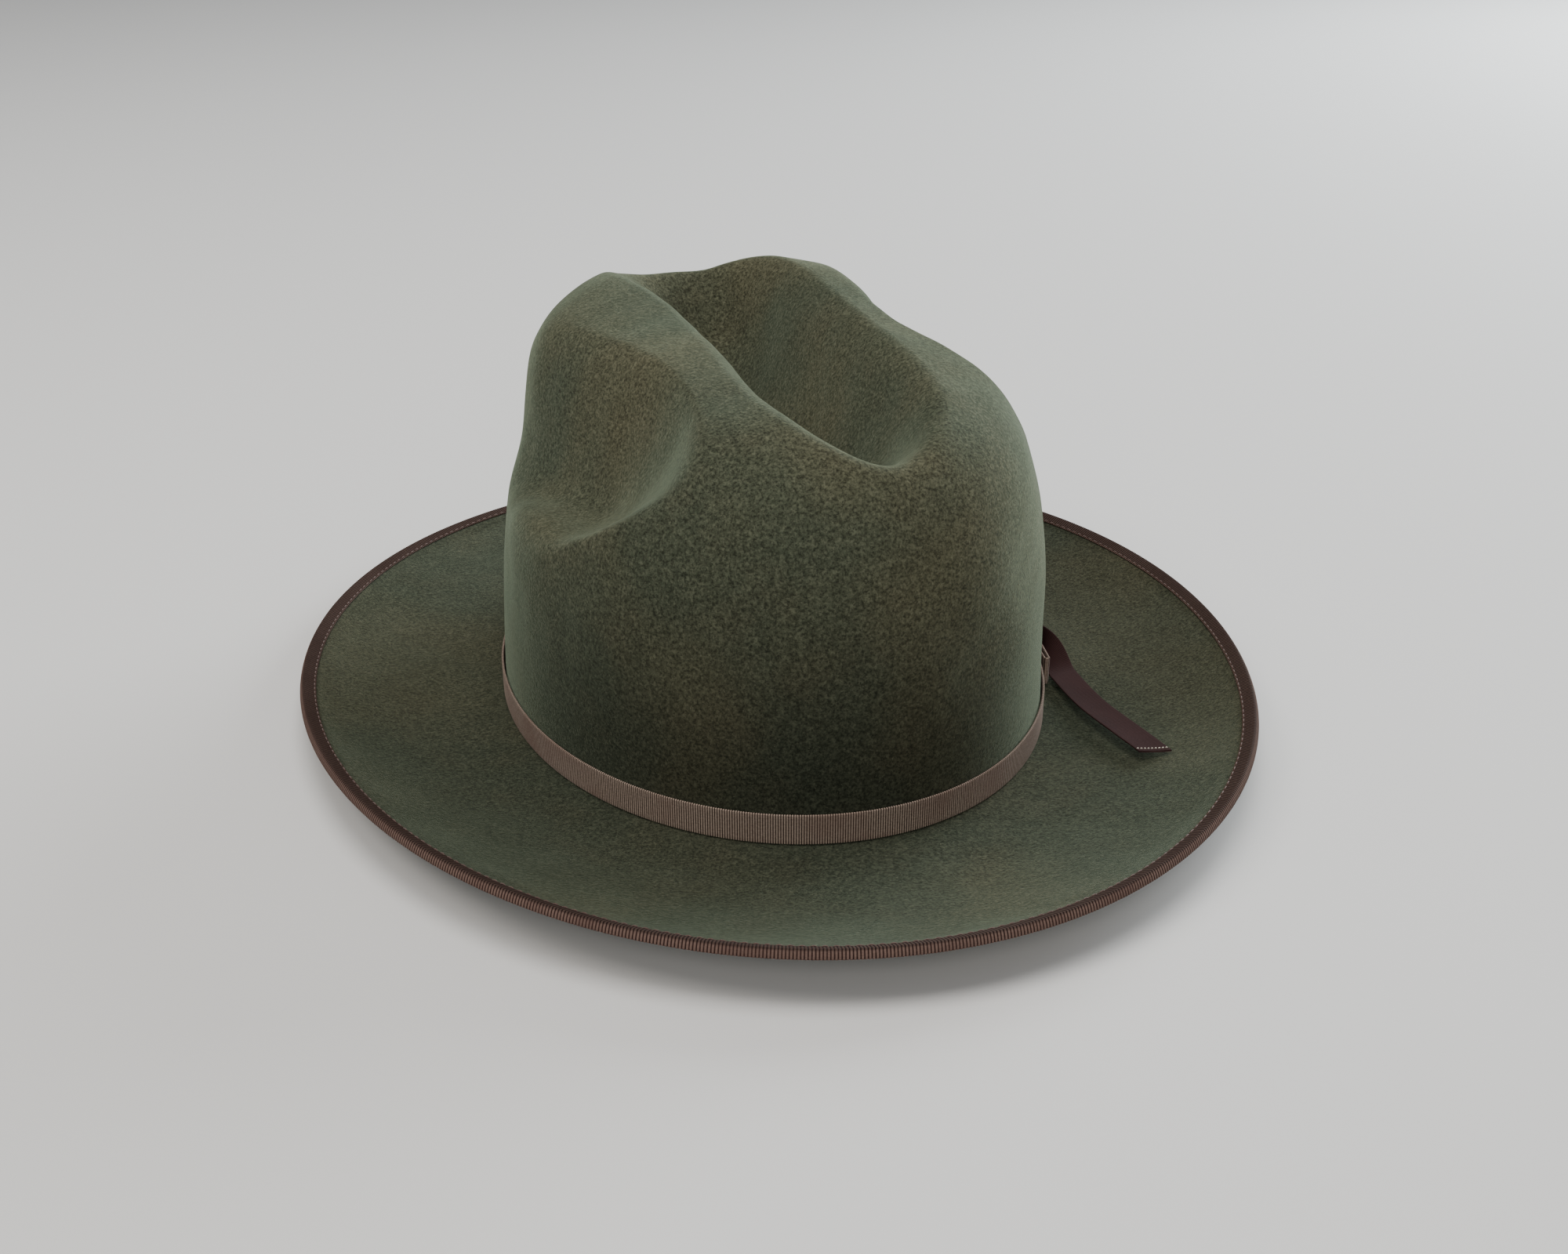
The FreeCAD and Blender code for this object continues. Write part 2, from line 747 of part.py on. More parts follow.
seam_low = size("back_bow_z") + size("back_bow_height")
seam_high = seam_low + size("seam_height")
seam_lean = math.atan2(back_wall(seam_high) - back_wall(seam_low), seam_high - seam_low)
seam_place = FreeCAD.Placement(
    Vector(0, (back_wall(seam_low) + back_wall(seam_high)) / 2 + size("seam_clear"), 0),
    FreeCAD.Rotation(Vector(1, 0, 0), -math.degrees(seam_lean)),
    Vector(0, 0, (seam_low + seam_high) / 2),
)
add_feature("sweatband_back_seam", zigzag(), seam_place)

bow_body = document.addObject("PartDesign::Body", "BackBow")
bow_sketch = bow_body.newObject("Sketcher::SketchObject", "BackBowOutline")
bow_sketch.AttachmentSupport = [(bow_body.Origin.OriginFeatures[3], "")]
bow_sketch.MapMode = "FlatFace"
half_w = size("back_bow_width") / 2
half_h = size("back_bow_height") / 2
half_n = size("back_bow_waist") / 2
outline = [
    Vector(-half_w, -half_h, 0),
    Vector(0, -half_n, 0),
    Vector(half_w, -half_h, 0),
    Vector(half_w, half_h, 0),
    Vector(0, half_n, 0),
    Vector(-half_w, half_h, 0),
]
for i in range(6):
    bow_sketch.addGeometry(Part.LineSegment(outline[i], outline[(i + 1) % 6]), False)
for i in range(6):
    bow_sketch.addConstraint(Sketcher.Constraint("Coincident", i, 2, (i + 1) % 6, 1))
bow_sketch.addConstraint(Sketcher.Constraint("Symmetric", 0, 1, 1, 2, -2))
bow_sketch.addConstraint(Sketcher.Constraint("Symmetric", 2, 2, 4, 2, -2))
bow_sketch.addConstraint(Sketcher.Constraint("Symmetric", 0, 1, 4, 2, -1))
bow_sketch.addConstraint(Sketcher.Constraint("Symmetric", 0, 2, 3, 2, -1))
bow_sketch.addConstraint(Sketcher.Constraint("PointOnObject", 0, 2, -2))
for name, (first, point_one, second, point_two), kind, alias in (
    ("width", (0, 1, 1, 2), "DistanceX", "back_bow_width"),
    ("height", (0, 1, 4, 2), "DistanceY", "back_bow_height"),
    ("waist", (0, 2, 3, 2), "DistanceY", "back_bow_waist"),
):
    index = bow_sketch.addConstraint(
        Sketcher.Constraint(kind, first, point_one, second, point_two, size(alias))
    )
    bow_sketch.renameConstraint(index, name)
    bow_sketch.setExpression("Constraints." + name, "Dimensions." + alias)
bow_pad = bow_body.newObject("PartDesign::Pad", "BackBowPad")
bow_pad.Profile = bow_sketch
bow_pad.setExpression("Length", "Dimensions.ribbon_thick")
bow_body.Placement = FreeCAD.Placement(
    Vector(0, back_wall(size("back_bow_z")) + size("back_bow_clear"), size("back_bow_z") + 1.5),
    FreeCAD.Rotation(Vector(1, 0, 0), 90),
)
finish(bow_body, "sweatband_back_bow")


# ---------------------------------------------------------------- lining
lining = size("lining_inset")
cloth = size("lining_thick")
climb = size("lining_top") - size("lining_foot")
levels = [size("lining_foot") + climb * (i / 8) ** 0.6 for i in range(9)]  # closer together near the top
add_feature("lining_side", wall_ring(
    [(lining, z) for z in levels] + [(lining + cloth, z) for z in reversed(levels)]
))


def oval_ring(inset, height):
    return [wall_point(turn, height, inset) for turn in ANGLES]


tip_inset = lining + cloth + size("piping") + 0.4
tip_low = size("lining_top") - size("piping") / 2
low_ring = [Vector(p.x, p.y, tip_low) for p in oval_ring(tip_inset, size("lining_top"))]
high_ring = [p + Vector(0, 0, cloth) for p in low_ring]
add_feature("lining_tip", closed_solid([
    Part.makeFace([ring_wire(low_ring)], "Part::FaceMakerBullseye"),
    strip(low_ring, high_ring),
    Part.makeFace([ring_wire(high_ring)], "Part::FaceMakerBullseye"),
]))

cord = size("piping")
cord_in = lining + cloth + 0.3
cord_low = size("lining_top") - cord - 0.3
add_feature("lining_piping", wall_ring([
    (cord_in, cord_low),
    (cord_in + cord * 0.7, cord_low),
    (cord_in + cord * 0.7, cord_low + cord),
    (cord_in, cord_low + cord),
]))

label_box = bound(
    "Part::Box",
    "LabelPlate",
    Length="Dimensions.label_width",
    Width="Dimensions.label_thick",
    Height="Dimensions.label_height",
)
label_turn = math.radians(28)
label_spot = wall_point(1.5 * math.pi - label_turn, size("label_z") + 7, inset + thick + size("label_clear"))
spin = -math.degrees(math.atan2(label_spot.x / HALF_B ** 2, -label_spot.y / HALF_A ** 2))
label_rotation = FreeCAD.Rotation(Vector(0, 0, 1), -spin)
label_box.Placement = FreeCAD.Placement(
    label_spot - label_rotation.multVec(Vector(size("label_width") / 2, 0, 7)), label_rotation
)
finish(label_box, "size_label")


# ---------------------------------------------------------------- check and write
document.recompute()
for item in document.Objects:
    if "Invalid" in item.State or "Error" in item.State:
        raise RuntimeError(f"{item.Label} did not compute")
for item in sub_parts:
    if item.Shape.isNull() or not item.Shape.isValid() or item.Shape.Volume <= 0:
        raise RuntimeError(f"{item.Label} has no valid solid")
    print(item.Label, len(item.Shape.Solids), round(item.Shape.Volume, 1), item.Shape.BoundBox)
os.makedirs("parts", exist_ok=True)
for item in sub_parts:
    item.Shape.exportStep(f"parts/{item.Label}.step")
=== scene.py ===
import math

import bpy
import numpy as np
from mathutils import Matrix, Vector


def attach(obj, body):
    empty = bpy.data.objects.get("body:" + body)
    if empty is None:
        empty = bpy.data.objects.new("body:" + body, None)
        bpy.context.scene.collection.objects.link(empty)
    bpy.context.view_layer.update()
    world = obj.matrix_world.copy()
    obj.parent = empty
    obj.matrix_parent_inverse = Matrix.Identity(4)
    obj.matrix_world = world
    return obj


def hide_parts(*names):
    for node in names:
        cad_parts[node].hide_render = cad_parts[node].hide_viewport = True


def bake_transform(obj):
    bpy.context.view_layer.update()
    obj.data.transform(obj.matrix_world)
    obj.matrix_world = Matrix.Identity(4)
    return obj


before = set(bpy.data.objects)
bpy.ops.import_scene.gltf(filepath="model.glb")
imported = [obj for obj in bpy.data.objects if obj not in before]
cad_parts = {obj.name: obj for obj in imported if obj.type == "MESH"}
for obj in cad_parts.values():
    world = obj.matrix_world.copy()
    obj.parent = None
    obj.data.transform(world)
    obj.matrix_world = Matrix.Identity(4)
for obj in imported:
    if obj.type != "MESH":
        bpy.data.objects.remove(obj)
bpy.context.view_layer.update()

MM = 0.001
TAU = 2 * math.pi
UP = np.array([0.0, 0.0, 1.0])
RIB_STEPS = 6  # points along one rib of a ribbon
rng = np.random.default_rng(7)


# ------------------------------------------------------------------ the hat's shape, in mm
FELT = 2.0
CROWN = dict(
    length=102.8, width=87.2, top=120.8, rake=0.055, taper=0.055,
    sides=4.6, front=6.5, back=1.5, lean=(2.0, 2.0), press=5.5,
    floor=80.0, round=11.5, slope=3.02, steepen=0.008, low_y=5.0,
    rear=(81.0, 27.0), fore=(66.0, 14.0), power=4.0, flare=(32.0, 6.0), soft=22.0,
    level=60.0, angle=27.5, slant=-0.167, dent_y=-10.0, dent_length=(55.0, 90.0),
    spread=26.0, widen=0.08, depth=36.0, inward=0.45, dent_round=(1.1, 1.7, 0.2),
    lip=0.35, fade=(0.93, -39.0, 21.0, 0.2, -1.0), right=(5.5, 0.2, 20.0),
    side_blend=12.0, dent_change=30.0, least_spread=6.0, dent_low=(0.4, -0.7), pull=8.0,
    press_rise=(0.3, 0.6), lean_rise=(0.3, 1.0),
)
PAST_EDGE = 1.0  # the binding reaches this far past the felt
EDGE_A, EDGE_B = 173.5 - PAST_EDGE, 152.5 - PAST_EDGE  # half length and half width of the felt
LIFT, LIFT_BACK, LIFT_SIDES, CURL = 10.9, 5.5, 2.2, 2.2  # rise of the brim's edge, and its curl
FLAT = 10.0  # width of the brim's flat part


def smooth_step(low, high, value):
    share = np.clip((value - low) / (high - low), 0, 1)
    return share * share * (3 - 2 * share)


def soft_min(first, second, reach):
    """The lower of two values, rounded where they come within reach of each other."""
    share = np.clip(0.5 + 0.5 * (second - first) / reach, 0, 1)
    return second * (1 - share) + first * share - reach * share * (1 - share)


def crown(turn, climb):
    """Points of the crown's outer surface in mm, from the top of the brim up."""
    c = CROWN
    power = c["sides"] + c["front"] * np.maximum(0, np.sin(turn)) ** 2
    power = power + c["back"] * np.maximum(0, -np.sin(turn)) ** 2
    across, up = np.cos(climb), np.sin(climb)
    reach = (np.abs(across) ** power + np.abs(up) ** power) ** (-1 / power)
    out, rise = across * reach, up * reach
    shrink = 1 - c["taper"] * rise
    x = c["width"] * out * np.cos(turn) * shrink
    y = c["length"] * out * np.sin(turn) * shrink
    z = rise * (c["top"] + c["rake"] * y)
    middle = x - c["press"]
    right = smooth_step(-c["side_blend"], c["side_blend"], middle)
    along = y - c["low_y"]
    rear = c["rear"][1] * (np.abs(along) / c["rear"][0]) ** c["power"]
    fore = c["fore"][1] * (np.abs(along) / c["fore"][0]) ** c["power"]
    flare = c["flare"][0] * (1 - right) + c["flare"][1] * right
    radius = c["round"] + flare * np.maximum(0, along / c["fore"][0]) ** 3
    trough = c["floor"] + np.where(along > 0, fore, rear)
    trough = trough + (c["slope"] + c["steepen"] * y) * (np.hypot(middle, radius) - radius)
    share = smooth_step(*c["press_rise"], rise)
    creased = z + share * (soft_min(z, trough, c["soft"]) - z)
    angle = np.degrees(np.arctan2(z - c["level"], np.abs(middle) + 1e-6))
    far = y - c["dent_y"] - c["right"][2] * right
    centre = c["angle"] + c["right"][0] * right + (c["slant"] + c["right"][1] * right) * far
    above = (angle - centre) / np.maximum(c["least_spread"], c["spread"] + c["widen"] * far)
    length = np.where(far > 0, c["dent_length"][1], c["dent_length"][0])
    inside = np.maximum(1e-6, 1 - (far / length) ** 2 - above ** 2)
    ahead = smooth_step(-c["dent_change"], c["dent_change"], far)
    bend = c["dent_round"][0] * (1 - ahead) + c["dent_round"][1] * ahead
    bend = bend + c["dent_round"][2] * smooth_step(*c["dent_low"], above)
    loss, back, front, high, low = c["fade"]
    fade = 1 - loss * smooth_step(back, front, far) * smooth_step(high, low, above)
    push = share * c["depth"] * inside ** bend * inside / (inside + c["lip"]) * fade
    lean = smooth_step(*c["lean_rise"], rise)
    x = x - np.tanh(middle / c["pull"]) * c["inward"] * push + c["lean"][0] * lean
    return np.stack([x, y + c["lean"][1] * lean, creased - push + FELT], -1)


def around(count):
    """Angles of evenly spaced points round the hat."""
    return np.arange(count) / count * TAU


def wall(turn, height, inset, halvings=32):
    """Points on the crown's lower wall at a height, moved in by inset."""
    low = np.zeros_like(turn)
    high = np.full_like(turn, 1.2)
    for _ in range(halvings):
        middle = (low + high) / 2
        below = crown(turn, middle)[..., 2] < height
        low = np.where(below, middle, low)
        high = np.where(below, high, middle)
    point = crown(turn, low)
    inward = -point[..., :2] / [CROWN["width"] ** 2, CROWN["length"] ** 2]
    inward /= np.linalg.norm(inward, axis=-1, keepdims=True)
    point[..., :2] += inward * inset
    point[..., 2] = height
    return point


def brim(turn, share):
    """Points of the brim's top, from the crown (share 0) to the felt's edge (share 1)."""
    lift = LIFT - LIFT_BACK * np.sin(turn) + LIFT_SIDES * np.cos(2 * turn)
    flat = FLAT / (EDGE_A - CROWN["length"])
    curl = np.maximum(0, (share - flat) / (1 - flat)) ** CURL
    x = (CROWN["width"] + (EDGE_B - CROWN["width"]) * share) * np.cos(turn)
    y = (CROWN["length"] + (EDGE_A - CROWN["length"]) * share) * np.sin(turn)
    return np.stack([x, y, FELT + lift * curl], -1)


def normals(grid):
    """Unit normals of a grid of points that is closed along its first axis."""
    along = np.roll(grid, -1, 0) - np.roll(grid, 1, 0)
    normal = np.cross(along, np.gradient(grid, axis=1))
    return normal / (np.linalg.norm(normal, axis=-1, keepdims=True) + 1e-12)


def waves(points, wavelength, count=14):
    """Smooth seeded unevenness between about -1 and 1, for points in mm."""
    total = np.zeros(points.shape[:-1])
    for _ in range(count):
        direction = rng.normal(size=3)
        direction /= np.linalg.norm(direction)
        scale = TAU / (wavelength * rng.uniform(0.7, 1.8))
        total += np.sin(points @ direction * scale + rng.uniform(0, TAU))
    return total / math.sqrt(count)


def uneven(points, broad, fine):
    """Two sizes of unevenness; each is given as a wavelength and a height in mm."""
    return waves(points, broad[0])[..., None] * broad[1] + waves(points, fine[0])[..., None] * fine[1]


def moved_in(points, amount):
    """Shifts that bring points closer to the hat's axis."""
    shift = np.zeros_like(points)
    inward = -points[..., :2] / np.linalg.norm(points[..., :2], axis=-1, keepdims=True)
    shift[..., :2] = inward * amount[..., None]
    return shift


# ------------------------------------------------------------------ meshes
def add_mesh(name, points, faces, uv=None):
    """A mesh from points in mm; uv holds one pair for each point."""
    mesh = bpy.data.meshes.new(name)
    mesh.from_pydata((np.asarray(points, float) * MM).tolist(), [], [list(f) for f in faces])
    if uv is not None:
        layer = mesh.uv_layers.new(name="Cloth")
        index = np.empty(len(mesh.loops), dtype=np.int32)
        mesh.loops.foreach_get("vertex_index", index)
        layer.data.foreach_set("uv", np.asarray(uv, np.float32)[index].ravel())
    mesh.polygons.foreach_set("use_smooth", [True] * len(mesh.polygons))
    mesh.update()
    obj = bpy.data.objects.new(name, mesh)
    bpy.context.scene.collection.objects.link(obj)
    return obj


def grid_faces(rows, columns, close_rows, close_columns, flip=False):
    """Quads of a grid whose points are numbered row by row."""
    i = np.arange(rows if close_rows else rows - 1)
    j = np.arange(columns if close_columns else columns - 1)
    i, j = np.meshgrid(i, j, indexing="ij")
    here, after, beside = i * columns, (i + 1) % rows * columns, (j + 1) % columns
    quads = np.stack([here + j, after + j, after + beside, here + beside], -1).reshape(-1, 4)
    return (quads[:, ::-1] if flip else quads).tolist()


def patch_faces(columns, rows, flip):
    """Faces of a thin patch: one side, then the other side, then the rim between them."""
    offset = columns * rows
    faces = grid_faces(columns, rows, False, False, flip)
    faces += [[i + offset for i in f[::-1]] for f in faces]
    rim = [i * rows for i in range(columns)]
    rim += [(columns - 1) * rows + j for j in range(1, rows)]
    rim += [i * rows + rows - 1 for i in range(columns - 2, -1, -1)]
    rim += list(range(rows - 2, 0, -1))
    for a, b in zip(rim, rim[1:] + rim[:1]):
        faces.append([b, a, a + offset, b + offset] if flip else [a, b, b + offset, a + offset])
    return faces


def cloth_uv(along, columns):
    """The cloth's axes: along holds a value for each station, and across runs from 0 to 1."""
    across = np.linspace(0, 1, columns)
    return np.stack(np.broadcast_arrays(along[:, None], across[None]), -1).reshape(-1, 2)


def sweep(
    name, origin, side, up, profile, pitch, depth, closed=True, mask=None, flip=False, wobble=None
):
    """A ribbed ribbon: a section carried along a path, closed unless stated.

    profile is (points, 2) or (stations, points, 2), in mm. pitch and depth are those of the ribs
    across the path, which are raised on the points that mask picks."""
    count = len(origin)
    profile = np.broadcast_to(profile, (count,) + np.shape(profile)[-2:]).copy()
    step = np.linalg.norm(np.roll(origin, -1, 0) - origin, axis=-1)
    run = np.concatenate([[0], np.cumsum(step)[:-1]])
    total = run[-1] + (step[-1] if closed else 0)
    phase = run / total * max(1, round(total / pitch))
    edge = np.roll(profile, -1, 1) - np.roll(profile, 1, 1)
    out = np.stack([edge[..., 1], -edge[..., 0]], -1)
    out /= np.linalg.norm(out, axis=-1, keepdims=True) + 1e-9
    weight = np.ones(profile.shape[1]) if mask is None else np.asarray(mask, float)
    rib = np.abs(np.cos(math.pi * phase)) ** 0.8 - 0.5
    profile += out * (depth * rib)[:, None, None] * weight[None, :, None]
    points = origin[:, None] + side[:, None] * profile[..., :1] + up[:, None] * profile[..., 1:]
    if wobble is not None:
        points = points + wobble(points)
    columns = profile.shape[1]
    faces = grid_faces(count, columns, closed, True, flip)
    if not closed:
        first = list(range(columns))
        last = [(count - 1) * columns + k for k in range(columns)]
        faces += [first if flip else first[::-1], last[::-1] if flip else last]
    return add_mesh(name, points.reshape(-1, 3), faces, cloth_uv(phase, columns))


def rounded(width, height, radius, corner=4, edge=0):
    """A rounded rectangle, anticlockwise, with a number of extra points on its long sides."""
    points = []
    half_x, half_y = width / 2 - radius, height / 2 - radius
    centres = [(half_x, -half_y), (half_x, half_y), (-half_x, half_y), (-half_x, -half_y)]
    for k, (cx, cy) in enumerate(centres):
        for i in range(corner + 1):
            a = -math.pi / 2 + k * math.pi / 2 + i / corner * math.pi / 2
            points.append((cx + radius * math.cos(a), cy + radius * math.sin(a)))
        if (k % 2 == 0) == (height > width):
            x, y = points[-1]
            next_x, next_y = centres[(k + 1) % 4]
            a = k * math.pi / 2
            goal_x, goal_y = next_x + radius * math.cos(a), next_y + radius * math.sin(a)
            for i in range(1, edge + 1):
                t = i / (edge + 1)
                points.append((x + (goal_x - x) * t, y + (goal_y - y) * t))
    return np.array(points)


def ellipse_path(half_a, half_b, height, count):
    """Angles and points evenly spaced along an oval, with outward and upward directions."""
    fine = np.linspace(0, TAU, 20001)
    x, y = half_b * np.cos(fine), half_a * np.sin(fine)
    run = np.concatenate([[0], np.cumsum(np.hypot(np.diff(x), np.diff(y)))])
    turn = np.interp(np.arange(count) / count * run[-1], run, fine)
    origin = np.stack([half_b * np.cos(turn), half_a * np.sin(turn), np.full(count, height)], -1)
    side = np.stack([np.cos(turn) / half_b, np.sin(turn) / half_a, np.zeros(count)], -1)
    side /= np.linalg.norm(side, axis=-1, keepdims=True)
    return turn, origin, side, np.tile(UP, (count, 1))


def thread_run(name, starts, ends, normal, radius=0.2, rise=0.25, sides=6, steps=6):
    """Short stitches: each a small arched thread from a start to an end, lifted along normal."""
    points, faces = [], []
    ring = np.linspace(0, TAU, sides, endpoint=False)
    for start, end, lift in zip(starts, ends, normal):
        start, end, lift = (np.asarray(v, float) for v in (start, end, lift))
        along = end - start
        along /= np.linalg.norm(along)
        lift = lift - along * (lift @ along)
        lift /= np.linalg.norm(lift)
        cross = np.cross(along, lift)
        base = len(points)
        for i in range(steps + 1):
            t = i / steps
            middle = start + (end - start) * t + lift * (rise * math.sin(math.pi * t))
            size = radius * (0.45 + 0.55 * math.sin(math.pi * min(max(t, 0.06), 0.94)) ** 0.5)
            for a in ring:
                points.append(middle + (cross * math.cos(a) + lift * math.sin(a)) * size)
        for i in range(steps):
            for k in range(sides):
                a, b = base + i * sides + k, base + i * sides + (k + 1) % sides
                faces.append((a, b, b + sides, a + sides))
        faces.append(tuple(base + k for k in range(sides))[::-1])
        faces.append(tuple(base + steps * sides + k for k in range(sides)))
    return add_mesh(name, points, faces)


# ------------------------------------------------------------------ materials
class Finish:
    """A small builder of node materials."""

    def __init__(self, name):
        self.material = bpy.data.materials.new(name)
        self.material.use_nodes = True
        self.tree = self.material.node_tree
        self.shader = self.tree.nodes["Principled BSDF"]
        self.coords = self.tree.nodes.new("ShaderNodeTexCoord")

    def add(self, kind, settings=None, **inputs):
        node = self.tree.nodes.new("ShaderNode" + kind)
        for key, value in (settings or {}).items():
            setattr(node, key, value)
        for key, value in inputs.items():
            self.put(node.inputs[key.replace("_", " ")], value)
        return node

    def put(self, socket, value):
        if isinstance(value, bpy.types.NodeSocket):
            self.tree.links.new(value, socket)
        else:
            socket.default_value = value

    def noise(self, scale, detail=2.0, rough=0.5, vector=None, distortion=0.0):
        vector = vector or self.coords.outputs["Object"]
        node = self.add("TexNoise", Scale=scale, Detail=detail, Roughness=rough, Distortion=distortion)
        self.put(node.inputs["Vector"], vector)
        return node.outputs[0]

    def spread(self, value, low, high, out_low=0.0, out_high=1.0):
        node = self.add("MapRange", {"interpolation_type": "SMOOTHSTEP"})
        for index, item in enumerate((value, low, high, out_low, out_high)):
            self.put(node.inputs[index], item)
        return node.outputs[0]

    def math(self, operation, *values):
        node = self.add("Math", {"operation": operation})
        for index, item in enumerate(values):
            self.put(node.inputs[index], item)
        return node.outputs[0]

    def share(self, value, low, high, amount):
        """How much of a second colour to mix in: none below low, and amount above high."""
        return self.math("MULTIPLY", self.spread(value, low, high), amount)

    def mix(self, share, first, second, blend="MIX"):
        node = self.add("Mix", {"data_type": "RGBA", "blend_type": blend})
        for index, item in ((0, share), (6, first), (7, second)):
            if isinstance(item, tuple) and len(item) == 3:
                item = item + (1.0,)
            self.put(node.inputs[index], item)
        return node.outputs[2]

    def shaded(self, colour, level):
        """The colour multiplied by a level."""
        grey = self.add("CombineColor")
        for k in range(3):
            self.put(grey.inputs[k], level)
        return self.mix(1.0, colour, grey.outputs[0], "MULTIPLY")

    def scaled(self, source, scale):
        node = self.add("Mapping")
        self.put(node.inputs["Vector"], self.coords.outputs[source])
        node.inputs["Scale"].default_value = scale
        return node.outputs[0]

    def parts(self, source):
        """The three parts of one of the shader's coordinates."""
        node = self.add("SeparateXYZ")
        self.put(node.inputs[0], self.coords.outputs[source])
        return node.outputs

    def bump(self, height, strength, distance, under=None):
        node = self.add("Bump", Strength=strength, Distance=distance)
        self.put(node.inputs["Height"], height)
        if under is not None:
            self.put(node.inputs["Normal"], under)
        return node.outputs[0]

    def surface(self, **inputs):
        for key, value in inputs.items():
            if isinstance(value, tuple) and len(value) == 3:
                value = value + (1.0,)
            self.put(self.shader.inputs[key.replace("_", " ")], value)
        return self.material


def felt_finish(name, green, olive, pale, brown):
    """Fur felt: broad and small patches, grain, and pale fibres; darker near the brim, a painted shade.
    """
    f = Finish(name)
    broad = f.noise(13, 2, 0.5, distortion=0.4)
    patch = f.noise(60, 3, 0.55)
    clump = f.noise(640, 3, 0.7)
    grain = f.noise(1150, 4, 0.75)
    fibre = f.noise(1.0, 3, 0.65, vector=f.scaled("Object", (3200, 1500, 2600)), distortion=0.6)
    colour = f.mix(f.spread(broad, 0.36, 0.66), green, olive)
    colour = f.mix(f.share(patch, 0.40, 0.78, 0.16), colour, brown)
    colour = f.mix(f.share(clump, 0.35, 0.75, 0.14), colour, pale)
    # painted shade: the colour is darkened below 85 mm of height, most on the brim and the crown's foot
    painted_low_shade = f.spread(f.parts("Object")[2], 0.020, 0.085, 0.60, 1.0)
    mottle = f.spread(clump, 0.30, 0.70, 0.84, 1.16)
    dark = f.math("MULTIPLY", f.spread(grain, 0.32, 0.64, 0.40, 1.50), f.math("MULTIPLY", mottle, painted_low_shade))
    colour = f.shaded(colour, dark)
    colour = f.mix(f.share(fibre, 0.60, 0.74, 0.55), colour, pale)
    height = f.math("ADD", f.math("MULTIPLY", grain, 0.6), f.math("MULTIPLY", fibre, 0.5))
    normal = f.bump(height, 0.6, 0.0005, f.bump(clump, 0.2, 0.0006))
    return f.surface(
        Base_Color=colour, Roughness=0.95, Specular_IOR_Level=0.08, Normal=normal,
        Sheen_Weight=0.36, Sheen_Roughness=0.34, Sheen_Tint=(0.62, 0.76, 0.55),
    )


def grosgrain_finish(name, groove, crest, sheen, variation, weight, edge=None, top=1.0):
    """Ribbed ribbon; the ribs follow the first cloth axis, one rib for each unit.

    edge is the colour of the ribbon's two edges, weight is the strength of the sheen, and top is
    the share of the colour that is left on faces that point up, a painted shade on those faces."""
    f = Finish(name)
    along, across, _ = f.parts("UV")
    rib = f.math("ABSOLUTE", f.math("COSINE", f.math("MULTIPLY", along, math.pi)))
    weft = f.noise(1.0, 2, 0.6, vector=f.scaled("UV", (0.6, 90, 1)))
    patch = f.noise(55, 3, 0.6)
    fuzz = f.noise(1800, 2, 0.6)
    level = f.math("MULTIPLY", f.spread(rib, 0.3, 0.9), f.spread(weft, 0.25, 0.7, 0.65, 1.0))
    colour = f.mix(level, groove, crest)
    colour = f.mix(f.share(patch, 0.4, 0.72, 0.35), colour, variation)
    colour = f.mix(f.share(fuzz, 0.45, 0.8, 0.25), colour, crest)
    if edge is not None:
        from_middle = f.math("ABSOLUTE", f.math("SUBTRACT", across, 0.5))
        colour = f.mix(f.share(from_middle, 0.47, 0.5, 0.6), colour, edge)
    # painted shade: faces that point up keep only the top share of their colour
    if top < 1.0:
        colour = f.shaded(colour, f.spread(f.parts("Normal")[2], 0.55, 0.85, 1.0, top))
    height = f.math("ADD", f.math("MULTIPLY", rib, 0.7), f.math("MULTIPLY", weft, 0.3))
    normal = f.bump(fuzz, 0.25, 0.0002, f.bump(height, 0.4, 0.00012))
    return f.surface(
        Base_Color=colour, Roughness=0.8, Specular_IOR_Level=0.06, Normal=normal,
        Sheen_Weight=weight, Sheen_Roughness=0.3, Sheen_Tint=sheen,
    )


def leather_finish(name, colour, dark):
    f = Finish(name)
    cells = f.add("TexVoronoi", {"feature": "DISTANCE_TO_EDGE"}, Scale=1400.0)
    f.put(cells.inputs["Vector"], f.coords.outputs["Object"])
    patch = f.noise(40, 4, 0.6)
    pores = f.noise(2200, 2, 0.5)
    shade = f.mix(f.spread(patch, 0.35, 0.7), colour, dark)
    normal = f.bump(f.spread(cells.outputs[0], 0.0, 0.12), 0.25, 0.00015, f.bump(pores, 0.12, 0.0001))
    rough = f.spread(patch, 0.3, 0.7, 0.42, 0.58)
    return f.surface(Base_Color=shade, Roughness=rough, Specular_IOR_Level=0.4, Normal=normal)


def satin_finish(name, colour, shade):
    f = Finish(name)
    threads = f.noise(1.0, 2, 0.6, vector=f.scaled("Object", (5200, 5200, 700)))
    slub = f.noise(90, 3, 0.6)
    tint = f.mix(f.spread(slub, 0.35, 0.7), colour, shade)
    tint = f.mix(f.math("MULTIPLY", threads, 0.35), tint, shade)
    normal = f.bump(threads, 0.2, 0.00012)
    return f.surface(
        Base_Color=tint, Roughness=0.38, Specular_IOR_Level=0.5, Normal=normal,
        Sheen_Weight=0.3, Sheen_Roughness=0.3,
    )


